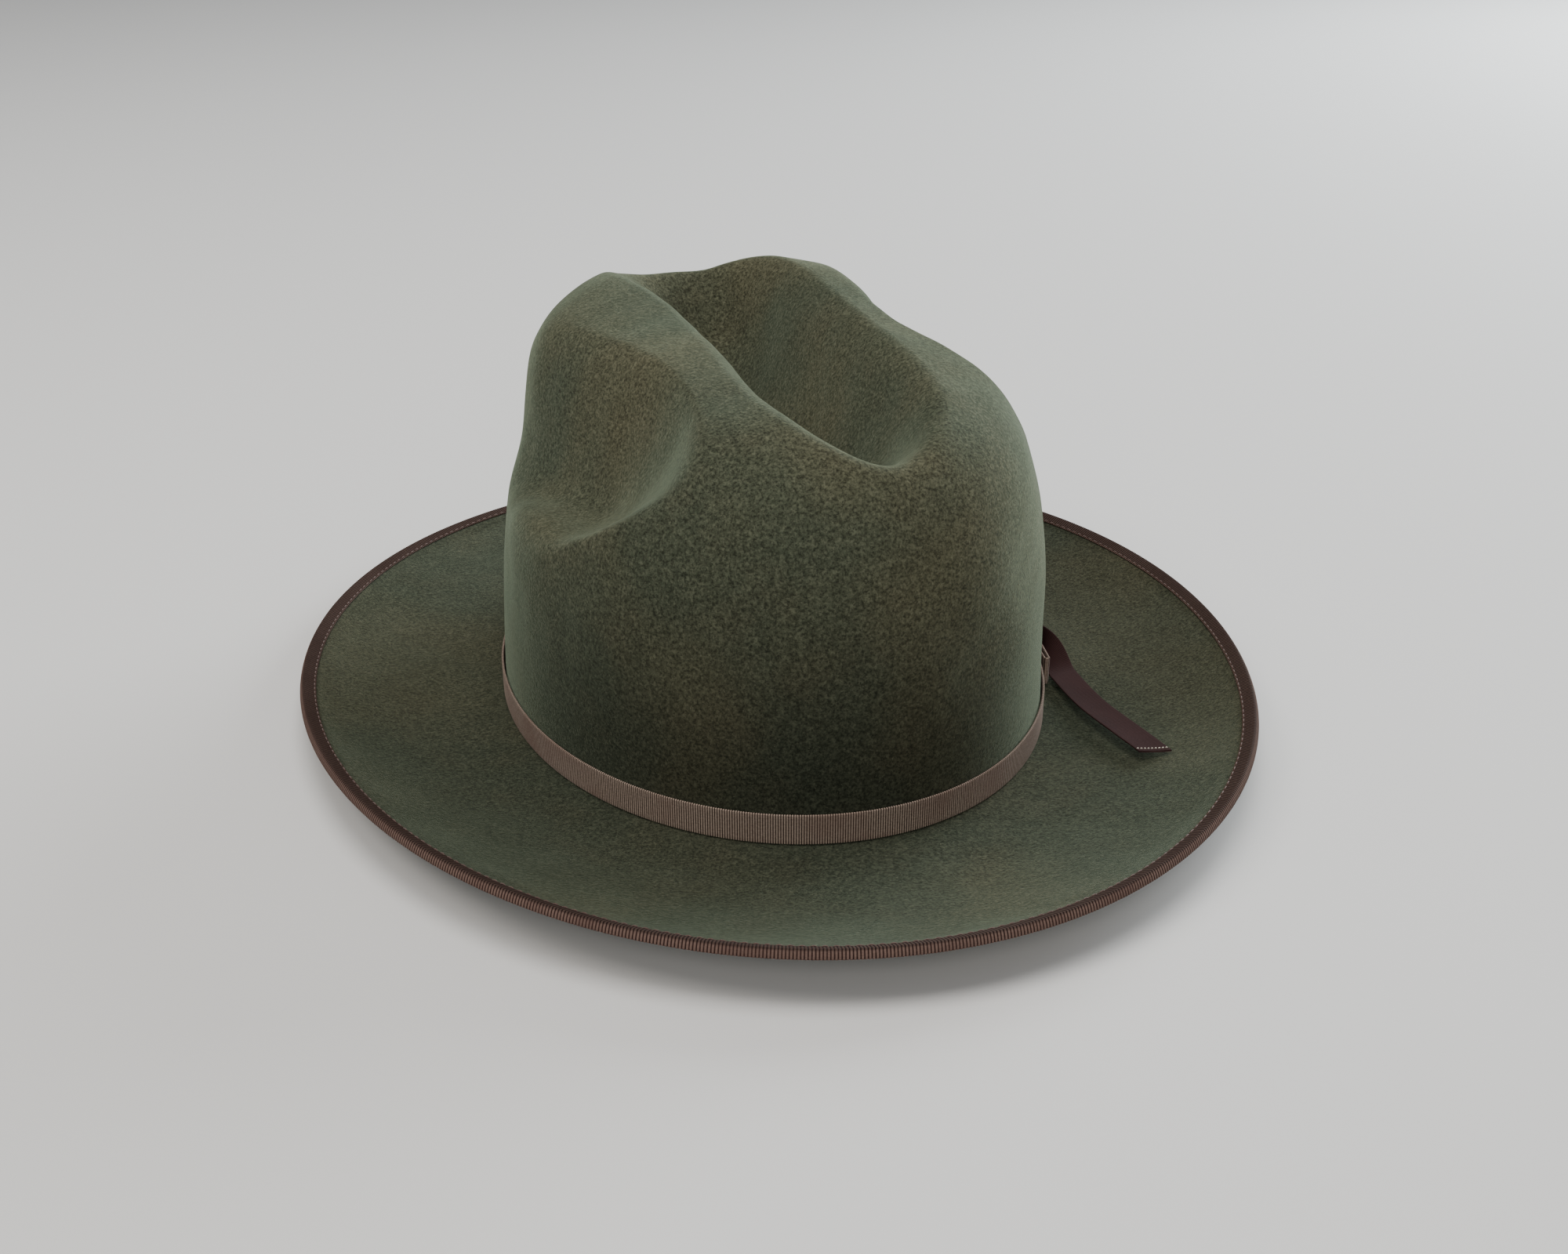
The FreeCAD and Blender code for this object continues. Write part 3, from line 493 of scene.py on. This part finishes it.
def woven_finish(name, colour, dark, bands=1100.0 / 6.28):
    f = Finish(name)
    one = f.add("TexWave", {"bands_direction": "Z"}, Scale=bands)
    two = f.add("TexWave", {"bands_direction": "DIAGONAL"}, Scale=bands)
    weave = f.math("MAXIMUM", one.outputs[1], two.outputs[1])
    fuzz = f.noise(900, 3, 0.6)
    tint = f.mix(f.math("MULTIPLY", weave, 0.8), dark, colour)
    tint = f.mix(f.share(fuzz, 0.4, 0.75, 0.3), tint, dark)
    normal = f.bump(fuzz, 0.3, 0.0003, f.bump(weave, 0.35, 0.0002))
    return f.surface(
        Base_Color=tint, Roughness=0.85, Specular_IOR_Level=0.2, Normal=normal,
        Sheen_Weight=0.25, Sheen_Roughness=0.5,
    )


def thread_finish(name, colour, dark):
    f = Finish(name)
    twist = f.add("TexWave", {"bands_direction": "DIAGONAL"}, Scale=900.0)
    tint = f.mix(f.math("MULTIPLY", twist.outputs[1], 0.6), colour, dark)
    normal = f.bump(twist.outputs[1], 0.3, 0.0001)
    return f.surface(
        Base_Color=tint, Roughness=0.7, Specular_IOR_Level=0.3, Normal=normal, Sheen_Weight=0.3,
    )


def plastic_finish(name, colour, dark):
    f = Finish(name)
    streak = f.noise(300, 3, 0.5)
    tint = f.mix(f.math("MULTIPLY", streak, 0.5), colour, dark)
    return f.surface(Base_Color=tint, Roughness=0.5, Normal=f.bump(streak, 0.1, 0.0001))


FELT_FINISH = felt_finish(
    "Olive felt", green=(0.037, 0.0425, 0.0280), olive=(0.055, 0.0535, 0.0325),
    pale=(0.150, 0.150, 0.100), brown=(0.064, 0.048, 0.028),
)
RIBBON_FINISH = grosgrain_finish(
    "Taupe grosgrain", groove=(0.020, 0.011, 0.009), crest=(0.33, 0.255, 0.205),
    sheen=(0.75, 0.66, 0.68), variation=(0.12, 0.066, 0.052), weight=0.15,
)
# the binding's faces that point up get a painted shade through top=0.42
BINDING_FINISH = grosgrain_finish(
    "Brown binding", groove=(0.020, 0.010, 0.009), crest=(0.150, 0.098, 0.080),
    sheen=(0.6, 0.45, 0.42), variation=(0.056, 0.030, 0.025), weight=0.05, top=0.42,
)
TAIL_FINISH = grosgrain_finish(
    "Plum grosgrain", groove=(0.018, 0.008, 0.008), crest=(0.038, 0.019, 0.018),
    sheen=(0.6, 0.45, 0.46), variation=(0.044, 0.019, 0.018), edge=(0.12, 0.09, 0.075), weight=0.03,
)
THREAD_FINISH = thread_finish("Pale thread", (0.62, 0.56, 0.47), (0.36, 0.31, 0.25))
DARK_THREAD_FINISH = thread_finish("Brown thread", (0.13, 0.07, 0.055), (0.05, 0.025, 0.02))
LEATHER_FINISH = leather_finish("Brown leather", (0.235, 0.118, 0.058), (0.15, 0.07, 0.034))
TAPE_FINISH = woven_finish("Cotton tape", (0.105, 0.09, 0.065), (0.045, 0.038, 0.028))
REED_FINISH = plastic_finish("Reed", (0.55, 0.52, 0.45), (0.42, 0.38, 0.32))
LINING_FINISH = satin_finish("Olive satin", (0.30, 0.27, 0.19), (0.21, 0.185, 0.12))
PIPING_FINISH = satin_finish("Piping satin", (0.18, 0.155, 0.10), (0.12, 0.10, 0.06))
LABEL_FINISH = woven_finish("Blank label", (0.78, 0.75, 0.69), (0.58, 0.54, 0.47), 2400.0 / 6.28)


def dress(obj, finish, node, body="hat"):
    """Gives a piece its finish and its place in the frame."""
    obj.data.materials.append(finish)
    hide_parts(node)
    if body:
        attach(obj, body)
    return obj


# ------------------------------------------------------------------ felt body
def make_felt():
    """Crown and brim: rings of points run from the tip's inside to the brim and back to its outside."""
    count = 640
    turns = around(count)[:, None]
    quarter = math.pi / 2
    outer = crown(turns, np.linspace(0, quarter, 231)[None, :-1])
    rise = np.clip((outer[..., 2] - 22) / 30, 0, 1)[..., None]
    outer = outer + normals(outer) * uneven(outer, (42, 0.55), (17, 0.12)) * rise
    inner = crown(turns, np.linspace(0, quarter, 91)[None, :-1])
    inner = inner - normals(inner) * FELT
    inner[:, 0, 2] = FELT
    shares = np.linspace(0, 1, 71)[1:]
    top = brim(turns, shares[None])
    calm = smooth_step(0.1, 0.3, shares) * (1 - smooth_step(0.86, 0.95, shares))
    top = top + UP * (uneven(top, (60, 0.5), (24, 0.14)) * calm[None, :, None])
    mouth_share = 0.14
    under_shares = mouth_share + (1 - mouth_share) * np.linspace(0, 1, 40)
    under = brim(turns, under_shares[None]) - UP * FELT
    mouth = inner[:, :1] * [1, 1, 0]
    rings = np.concatenate([inner[:, ::-1], mouth, under, top[:, ::-1], outer], 1)
    columns = rings.shape[1]
    apex = crown(np.array([0.0]), np.array([quarter]))[0]
    points = np.concatenate([rings.reshape(-1, 3), [apex - UP * FELT], [apex]])
    inner_tip, outer_tip, last = count * columns, count * columns + 1, columns - 1
    starts = [i * columns for i in range(count)]
    pairs = list(zip(starts, starts[1:] + starts[:1]))
    faces = grid_faces(count, columns, True, False)
    faces += [[a, inner_tip, b] for a, b in pairs]
    faces += [[a + last, b + last, outer_tip] for a, b in pairs]
    return add_mesh("felt", points, faces)


dress(make_felt(), FELT_FINISH, "felt_body")


# ------------------------------------------------------------------ brim binding
def edge_frames(count):
    """Evenly spaced points of the brim's edge, with outward and upward directions."""
    turn, *_ = ellipse_path(EDGE_A, EDGE_B, 0, count)
    here = brim(turn, 1.0)
    out = here - brim(turn, 0.98)
    out /= np.linalg.norm(out, axis=-1, keepdims=True)
    side = brim(turn + 0.01, 1.0) - brim(turn - 0.01, 1.0)
    up = np.cross(out, side)
    up /= np.linalg.norm(up, axis=-1, keepdims=True)
    return here, out, up


def make_binding():
    """Ribbon folded round the brim's edge."""
    length, pitch, rib = 1024, 0.95, 0.16
    thick, gap, start, reach = 0.46, 0.16, 0.30, 0.62
    count = RIB_STEPS * round(length / pitch)
    here, out, up = edge_frames(count)
    drop = FELT * up[:, 2:3]
    half = FELT / 2 + gap
    outer, inner = [], []
    for degrees in np.linspace(90, -90, 11):
        a = math.radians(degrees)
        bulge = max(0.0, math.cos(a))
        outer.append((start + reach * bulge ** 0.8, (half + thick) * math.sin(a)))
        inner.append((start * (0.4 + 0.6 * bulge ** 0.5), half * math.sin(a)))
    hem = ((3.75, 0.55), (3.6, 0.95), (2.8, 1.0), (2.0, 1.0), (1.2, 1.0))
    top = [(-x, half + thick * k) for x, k in hem]
    low = [(x, -y) for x, y in top[::-1]]
    in_low = [(-x, -half) for x in (1.2, 2.0, 2.8, 3.6)]
    in_top = [(x, -y) for x, y in in_low[::-1]]
    outside, inside = top + outer + low, in_low + inner[::-1] + in_top
    profile = np.array(outside + inside)[::-1]
    mask = np.array([1.0] * len(outside) + [0.0] * len(inside))[::-1]
    stretch = np.ones((count, len(profile), 2))
    stretch[..., 1] = (drop[:, 0] / 2 + gap)[:, None] / half
    origin = here - up * drop / 2
    return sweep("binding", origin, out, up, profile[None] * stretch, pitch, rib, mask=mask)


dress(make_binding(), BINDING_FINISH, "brim_binding")


def make_binding_stitches():
    inset, lift, stitch_share = 3.1, 0.62, 0.55
    here, out, up = edge_frames(340)
    step = np.roll(here, -1, 0) - here
    base = here - out * inset + up * lift
    return thread_run("binding_stitches", base, base + step * stitch_share, up, 0.16, 0.14)


dress(make_binding_stitches(), DARK_THREAD_FINISH, "brim_binding_stitching")


# ------------------------------------------------------------------ crown ribbon
def make_crown_ribbon():
    length, pitch, rib, gap, middle = 602, 0.75, 0.13, 0.52, 7.4
    count = RIB_STEPS * round(length / pitch)
    _, origin, side, up = ellipse_path(CROWN["length"] + gap, CROWN["width"] + gap, middle, count)
    return sweep("crown_ribbon_cloth", origin, side, up, rounded(0.62, 9.9, 0.28, 4, 6), pitch, rib)


dress(make_crown_ribbon(), RIBBON_FINISH, "crown_ribbon")


# ------------------------------------------------------------------ bow
BOW_HEIGHT = 8.0
BOW_PITCH, BOW_RIB = 0.75, 0.10


def make_loop(name, side):
    """A flattened loop of ribbon standing on edge, turned in to follow the crown."""
    turn = math.radians(13)
    outward = np.array([math.cos(turn), side * math.sin(turn), 0])
    along = np.array([-math.sin(turn), side * math.cos(turn), 0])
    root = np.array([91.4, side * 0.5, BOW_HEIGHT])
    length, depth = 42.0, 2.6
    radius = depth / 2 - 0.4
    straight, arc = length - depth, math.pi * radius
    count = RIB_STEPS * 110
    path, face = np.zeros((count, 2)), np.zeros((count, 2))
    for i, s in enumerate(np.arange(count) / count * (2 * straight + 2 * arc)):
        if s < straight:
            path[i], face[i] = (depth / 2 + s, depth / 2 - radius), (0, -1)
        elif s < straight + arc:
            a = (s - straight) / radius - math.pi / 2
            face[i] = (math.cos(a), math.sin(a))
            path[i] = (length - depth / 2, depth / 2) + radius * face[i]
        elif s < 2 * straight + arc:
            back = length - depth / 2 - (s - straight - arc)
            path[i], face[i] = (back, depth / 2 + radius), (0, 1)
        else:
            a = (s - 2 * straight - arc) / radius + math.pi / 2
            face[i] = (math.cos(a), math.sin(a))
            path[i] = (depth / 2, depth / 2) + radius * face[i]
    pinch = -0.15 * np.cos(path[:, 0] / length * TAU)
    path[:, 1] += pinch * np.sign(path[:, 1] - depth / 2)
    origin = root + along * path[:, :1] + outward * path[:, 1:]
    sides = along * face[:, :1] + outward * face[:, 1:]
    up, profile = np.tile(UP, (count, 1)), rounded(0.6, 9.8, 0.27, 4, 4)
    return sweep(name, origin, sides, up, profile, BOW_PITCH, BOW_RIB, flip=side < 0)


dress(make_loop("bow_loop_rear", -1), RIBBON_FINISH, "bow_rear_loop")
dress(make_loop("bow_loop_front", 1), RIBBON_FINISH, "bow_front_loop")


def make_keeper():
    """The short piece of ribbon wrapped round the bow's middle."""
    middle_x, dense = 92.65, 4
    outline = rounded(5.2, 10.9, 0.9, 8, 14)
    edge = np.roll(outline, -1, 0) - np.roll(outline, 1, 0)
    out = np.stack([edge[:, 1], -edge[:, 0]], -1)
    out /= np.linalg.norm(out, axis=-1, keepdims=True)
    share = (np.arange(dense) / dense)[None, :, None]
    fine, fine_out = (
        (v[:, None] * (1 - share) + np.roll(v, -1, 0)[:, None] * share).reshape(-1, 2)
        for v in (outline, out)
    )
    fine_out /= np.linalg.norm(fine_out, axis=-1, keepdims=True)
    zero = np.zeros(len(fine))
    origin = np.stack([middle_x + fine[:, 0], zero, BOW_HEIGHT + fine[:, 1]], -1)
    side = np.stack([fine_out[:, 0], zero, fine_out[:, 1]], -1)
    up = np.tile([0.0, 1.0, 0.0], (len(fine), 1))
    profile = rounded(0.5, 7.8, 0.22, 4, 4)
    return sweep("bow_wrap", origin, side, up, profile, BOW_PITCH, BOW_RIB, flip=True)


dress(make_keeper(), RIBBON_FINISH, "bow_keeper")


# ------------------------------------------------------------------ ribbon tail
TAIL_ROOT, TAIL_LENGTH, TAIL_WIDTH = -5.2, 95.5, 9.8
TAIL_UPRIGHT, TAIL_LAID = 12.0, 34.0  # where it starts to fold outward, and where it is flat


def tail_frames(run):
    """The tail's middle line, with directions across it and out of its face."""
    lean = math.pi / 2 * (1 - smooth_step(TAIL_UPRIGHT, TAIL_LAID, run))
    zero = np.zeros_like(run)
    across = np.stack([np.cos(lean), zero, np.sin(lean)], -1)
    normal = np.stack([-np.sin(lean), zero, np.cos(lean)], -1)
    hover, upright, rise = 4.4, 3.5, 3.1
    past = np.maximum(0, run - TAIL_LAID) / (TAIL_LENGTH - TAIL_LAID)
    height = hover + upright * np.sin(lean) + rise * past
    height = height + 0.25 * np.sin(run / 11.0) * smooth_step(30, 45, run)
    x = 94.2 - 6.0 * smooth_step(0, 64, run) + 1.5 * smooth_step(55, 115, run)
    return np.stack([x, TAIL_ROOT - run, height], -1), across, normal


def make_tail():
    """The ribbon's loose end, slightly cupped, with a slanted fold at its end."""
    pitch, rib, slanted, cup = 0.62, 0.05, 14, 0.22
    count = RIB_STEPS * round((TAIL_LENGTH + 1.5) / pitch)
    run = np.linspace(-1.2, TAIL_LENGTH, count)
    middle, across, normal = tail_frames(run)
    profile = rounded(TAIL_WIDTH, 0.55, 0.24, 4, 12)
    section = np.broadcast_to(profile, (count,) + profile.shape).copy()
    section[..., 1] += cup * (profile[:, 0] / (TAIL_WIDTH / 2)) ** 2 * smooth_step(25, 50, run)[:, None]
    near_end = np.maximum(0, 1 - (TAIL_LENGTH - run) / slanted)
    back = near_end[:, None] * 3.4 * (1 - section[..., 0] / 5) / 2

    def slant_end(points):
        shift = np.zeros_like(points)
        shift[..., 1] = back
        return shift

    return sweep(
        "tail_cloth", middle, across, normal, section, pitch, rib, closed=False, wobble=slant_end
    )


tail = dress(make_tail(), TAIL_FINISH, "ribbon_tail", None)
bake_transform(tail)


def make_tail_stitches():
    """A row of stitches across the tail's end, along its slanted fold."""
    starts, ends, lifts = [], [], []
    number, row_width = 9, 9.4
    for i in range(number):
        spot = (i + 0.5) / number - 0.5
        for end, delta in ((starts, -0.3), (ends, 0.3)):
            u = spot + delta / number
            run = np.array([TAIL_LENGTH - 1.6 - 3.4 * (0.5 - u)])
            middle, across, normal = tail_frames(run)
            end.append(middle[0] + across[0] * (u * row_width) + normal[0] * (0.33 + 0.2 * (2 * u) ** 2))
        lifts.append(normal[0])
    return thread_run("tail_stitches", starts, ends, lifts, 0.2, 0.18)


tail_stitches = dress(make_tail_stitches(), THREAD_FINISH, "ribbon_tail_stitches", "tail")


# ------------------------------------------------------------------ sweatband and its parts
def band_mesh(name, ring, flip=False):
    """A mesh that closes round the hat, from a closed section for each of its stations."""
    count, columns = ring.shape[:2]
    faces = grid_faces(count, columns, True, True, flip)
    return add_mesh(name, ring.reshape(-1, 3), faces, cloth_uv(around(count) * 100, columns))


def wall_sweep(name, inset, low, high, thick, wobble, count=720, levels=24, radius=0.3):
    """An upright band that follows the crown's wall, from one height to another."""
    turn = around(count)
    heights = np.linspace(low + radius, high - radius, levels)
    outer = np.stack([wall(turn, z, inset) for z in heights], 1)
    inner = np.stack([wall(turn, z, inset + thick) for z in heights], 1)
    middle_low = (outer[:, :1] + inner[:, :1]) / 2 - UP * radius
    middle_high = (outer[:, -1:] + inner[:, -1:]) / 2 + UP * radius
    ring = np.concatenate([middle_low, outer, middle_high, inner[:, ::-1]], 1)
    return band_mesh(name, ring + wobble(ring, turn))


def band_wobble(points, _):
    """The leather stands off the wall a little, unevenly, above its sewn edge."""
    return moved_in(points, smooth_step(12, 45, points[..., 2]) * (0.35 + 0.3 * waves(points, 55)))


leather_band = wall_sweep("sweatband_leather", 3.1, 3.4, 53.0, 1.0, band_wobble)
dress(leather_band, LEATHER_FINISH, "sweatband")


def make_reed_tape():
    """The tape folded round the reed. Its section is in pairs of inset and height."""
    section = (
        (2.3, 6.4), (2.3, 3.6), (2.32, 1.9), (2.6, 1.15), (3.2, 0.92), (3.9, 0.95), (4.45, 1.3),
        (4.68, 2.0), (4.7, 3.6), (4.66, 5.3), (4.4, 5.4), (4.26, 5.2), (4.25, 3.6), (4.22, 2.2),
        (4.0, 1.6), (3.6, 1.4), (3.2, 1.38), (2.9, 1.55), (2.76, 2.1), (2.75, 3.6), (2.74, 6.3),
        (2.52, 6.42),
    )
    turn = around(720)
    return band_mesh("reed_tape", np.stack([wall(turn, z, inset) for inset, z in section], 1), True)


dress(make_reed_tape(), TAPE_FINISH, "sweatband_tape")


def wall_cord(name, inset, height, radius_in, radius_up, count=720, sides=12):
    """A cord that follows the crown's wall at a height."""
    turn = around(count)
    ring = []
    for a in np.linspace(0, TAU, sides, endpoint=False):
        ring.append(wall(turn, height + radius_up * math.sin(a), inset + radius_in * math.cos(a)))
    points = np.stack(ring, 1).reshape(-1, 3)
    return add_mesh(name, points, grid_faces(count, sides, True, True, True))


dress(wall_cord("reed", 3.5, 2.3, 0.6, 0.75), REED_FINISH, "sweatband_reed")


def make_band_stitches():
    """Zigzag stitches through the sweatband's lower edge."""
    number, inset = 260, 4.32
    foot, head = np.full(number, 5.9), np.full(number, 7.3)
    turn = around(number)
    half = TAU / number / 2
    low = wall(turn, foot, inset)
    high = wall(turn + half, head, inset)
    after = wall(turn + 2 * half, foot, inset)
    lift = -np.stack([np.cos(turn), np.sin(turn), np.zeros(number)], -1)
    starts = np.concatenate([low, high])
    ends = np.concatenate([high, after])
    return thread_run("band_stitches", starts, ends, np.concatenate([lift, lift]), 0.16, 0.1, steps=4)


dress(make_band_stitches(), THREAD_FINISH, "sweatband_stitching")


def make_back_seam():
    """Crossed stitches up the sweatband's back."""
    starts, ends, lifts = [], [], []
    number, foot, pitch, height, half = 9, 18.5, 3.3, 2.4, 1.5
    back = np.array([1.5 * math.pi])
    for i in range(number):
        low = foot + i * pitch
        for x in (-half, half):
            for end, place, z in ((starts, x, low), (ends, -x, low + height)):
                y = wall(back, np.array([z]), 4.75)[0][1]
                end.append(np.array([place, y, z]))
            lifts.append((0, 1, 0))
    return thread_run("back_seam", starts, ends, lifts, 0.17, 0.12)


dress(make_back_seam(), THREAD_FINISH, "sweatband_back_seam")


def make_back_bow():
    """A small flat ribbon bow over the seam of the sweatband."""
    columns, rows = 60, 16
    half_width, middle, place = 12.9, 10.5, -98.0
    u = np.linspace(-1, 1, columns)[:, None]
    v = np.linspace(-1, 1, rows)[None]
    x = half_width * u + 0 * v
    z = middle + (2.0 + 2.4 * np.abs(u) ** 0.8) * v
    depth = 0.35 + 0.45 * np.abs(u) ** 0.5 * (1 - v ** 2) + 0.12 * np.cos(v * 9) * (1 - np.abs(u))
    base = place + 1.55 * u ** 2
    front = np.stack([x, base + 0.5 + depth, z], -1)
    back = np.stack([x, base + 0.45 + 0 * v, z], -1)
    points = np.concatenate([front.reshape(-1, 3), back.reshape(-1, 3)])
    uv = np.stack(np.broadcast_arrays(x / 0.7, (v + 1) / 2), -1).reshape(-1, 2)
    return add_mesh("back_bow", points, patch_faces(columns, rows, True), np.concatenate([uv, uv]))


dress(make_back_bow(), TAIL_FINISH, "sweatband_back_bow")


# ------------------------------------------------------------------ lining
def pleats(points, turn):
    """Upright folds of the lining, with some unevenness."""
    fold = 0.22 * (1 + np.sin(turn[:, None] * 58 + 1.5 * np.sin(turn[:, None] * 5)))
    fold = fold * smooth_step(12, 30, points[..., 2]) + 0.25 * (1 + 0.6 * waves(points, 25))
    return moved_in(points, fold)


lining_wall = wall_sweep("lining_wall", 2.5, 12.0, 66.8, 0.3, pleats, 1440, 40, 0.12)
dress(lining_wall, LINING_FINISH, "lining_side")


def make_tip():
    """The lining's oval top, a thin sheet that sags a little."""
    count, rings = 360, 40
    foot, dome, thick = 66.25, 0.9, 0.3
    edge = wall(around(count), np.full(count, 67.0), 5.0)
    shares = np.linspace(0, 1, rings)[1:]
    grid = edge[:, None] * shares[None, :, None]
    sag = 0.25 * waves(grid, 40) * (1 - shares[None] ** 4)
    grid[..., 2] = foot + dome * (1 - shares[None] ** 2) + sag
    above = grid + UP * thick
    columns = rings - 1
    tips = [[0, 0, foot + dome], [0, 0, foot + dome + thick]]
    points = np.concatenate([grid.reshape(-1, 3), above.reshape(-1, 3), tips])
    faces = grid_faces(count, columns, True, False, True)
    offset = count * columns
    faces += [[i + offset for i in f[::-1]] for f in faces]
    for i in range(count):
        a, b = i * columns, (i + 1) % count * columns
        faces.append([b, a, 2 * offset])
        faces.append([a + offset, b + offset, 2 * offset + 1])
        a, b = a + columns - 1, b + columns - 1
        faces.append([a, b, b + offset, a + offset])
    return add_mesh("lining_top", points, faces)


dress(make_tip(), LINING_FINISH, "lining_tip")
dress(wall_cord("lining_cord", 3.65, 65.9, 0.55, 0.75, 1080), PIPING_FINISH, "lining_piping")


def make_label():
    """A blank label behind the sweatband, bulged a little and thicker at its upper and lower hems."""
    turn = 1.5 * math.pi - math.radians(28)
    half_width, half_height, half_thick = 12, 7, 0.15
    spot = wall(np.array([turn]), np.array([41.0]), 5.9)[0]
    outward = np.array([spot[0] / CROWN["width"] ** 2, spot[1] / CROWN["length"] ** 2, 0])
    outward /= np.linalg.norm(outward)
    along = np.cross(UP, outward)
    columns, rows = 41, 25
    u = np.linspace(-half_width, half_width, columns)[:, None]
    v = np.linspace(-half_height, half_height, rows)[None]
    bulge = 0.25 * np.cos(u / half_width * math.pi / 2) * np.cos(v / half_height * math.pi / 2)
    hem = 0.08 * (np.abs(v) > 5.9)
    middle = spot + along * u[..., None] + UP * v[..., None]
    front = middle + outward * (-bulge - hem - half_thick)[..., None]
    back = middle + outward * (-bulge + half_thick)[..., None]
    points = np.concatenate([front.reshape(-1, 3), back.reshape(-1, 3)])
    return add_mesh("blank_label", points, patch_faces(columns, rows, False))


dress(make_label(), LABEL_FINISH, "size_label")


# ------------------------------------------------------------------ room, light and camera
def stage_plane():
    half, below = 3, 0.0002
    mesh = bpy.data.meshes.new("floor")
    corners = [(-half, -half, 0), (half, -half, 0), (half, half, 0), (-half, half, 0)]
    mesh.from_pydata(corners, [], [(0, 1, 2, 3)])
    floor = bpy.data.objects.new("floor", mesh)
    bpy.context.scene.collection.objects.link(floor)
    finish = Finish("Pale floor")
    finish.surface(Base_Color=(0.62, 0.61, 0.60), Roughness=0.8, Specular_IOR_Level=0.2)
    floor.data.materials.append(finish.material)
    floor.location.z = -below


def area_light(name, place, target, size, power, colour):
    light = bpy.data.lights.new(name, "AREA")
    light.shape = "DISK"
    light.size = size
    light.energy = power
    light.color = colour
    obj = bpy.data.objects.new(name, light)
    obj.location = place
    obj.rotation_euler = (Vector(target) - Vector(place)).to_track_quat("-Z", "Y").to_euler()
    bpy.context.scene.collection.objects.link(obj)


stage_plane()
area_light("window", (1.6, 0.6, 0.60), (0, 0, 0.06), 1.2, 46, (0.90, 0.97, 1.0))
area_light("room", (-1.1, 0.1, 1.6), (0, 0, 0.08), 0.9, 14, (1.0, 0.95, 0.88))
area_light("front", (-0.7, -1.6, 1.0), (0, 0, 0.10), 1.3, 16, (1.0, 0.98, 0.93))
area_light("ceiling", (0.0, 0.0, 1.9), (0, 0, 0.08), 1.2, 26, (1.0, 0.99, 0.96))
world = bpy.data.worlds.new("Room")
world.use_nodes = True
world.node_tree.nodes["Background"].inputs[0].default_value = (0.80, 0.83, 0.88, 1)
world.node_tree.nodes["Background"].inputs[1].default_value = 0.28
bpy.context.scene.world = world

# The camera was solved from the photograph's outlines of the ribbon and the brim.
lens = bpy.data.cameras.new("camera")
lens.lens = 42.12
lens.sensor_width = 36
camera = bpy.data.objects.new("camera", lens)
camera.location = (-0.1993, -0.5068, 0.3031)
camera.rotation_euler = Vector((0.3326, 0.8232, -0.4602)).to_track_quat("-Z", "Y").to_euler()
bpy.context.scene.collection.objects.link(camera)
bpy.context.scene.camera = camera
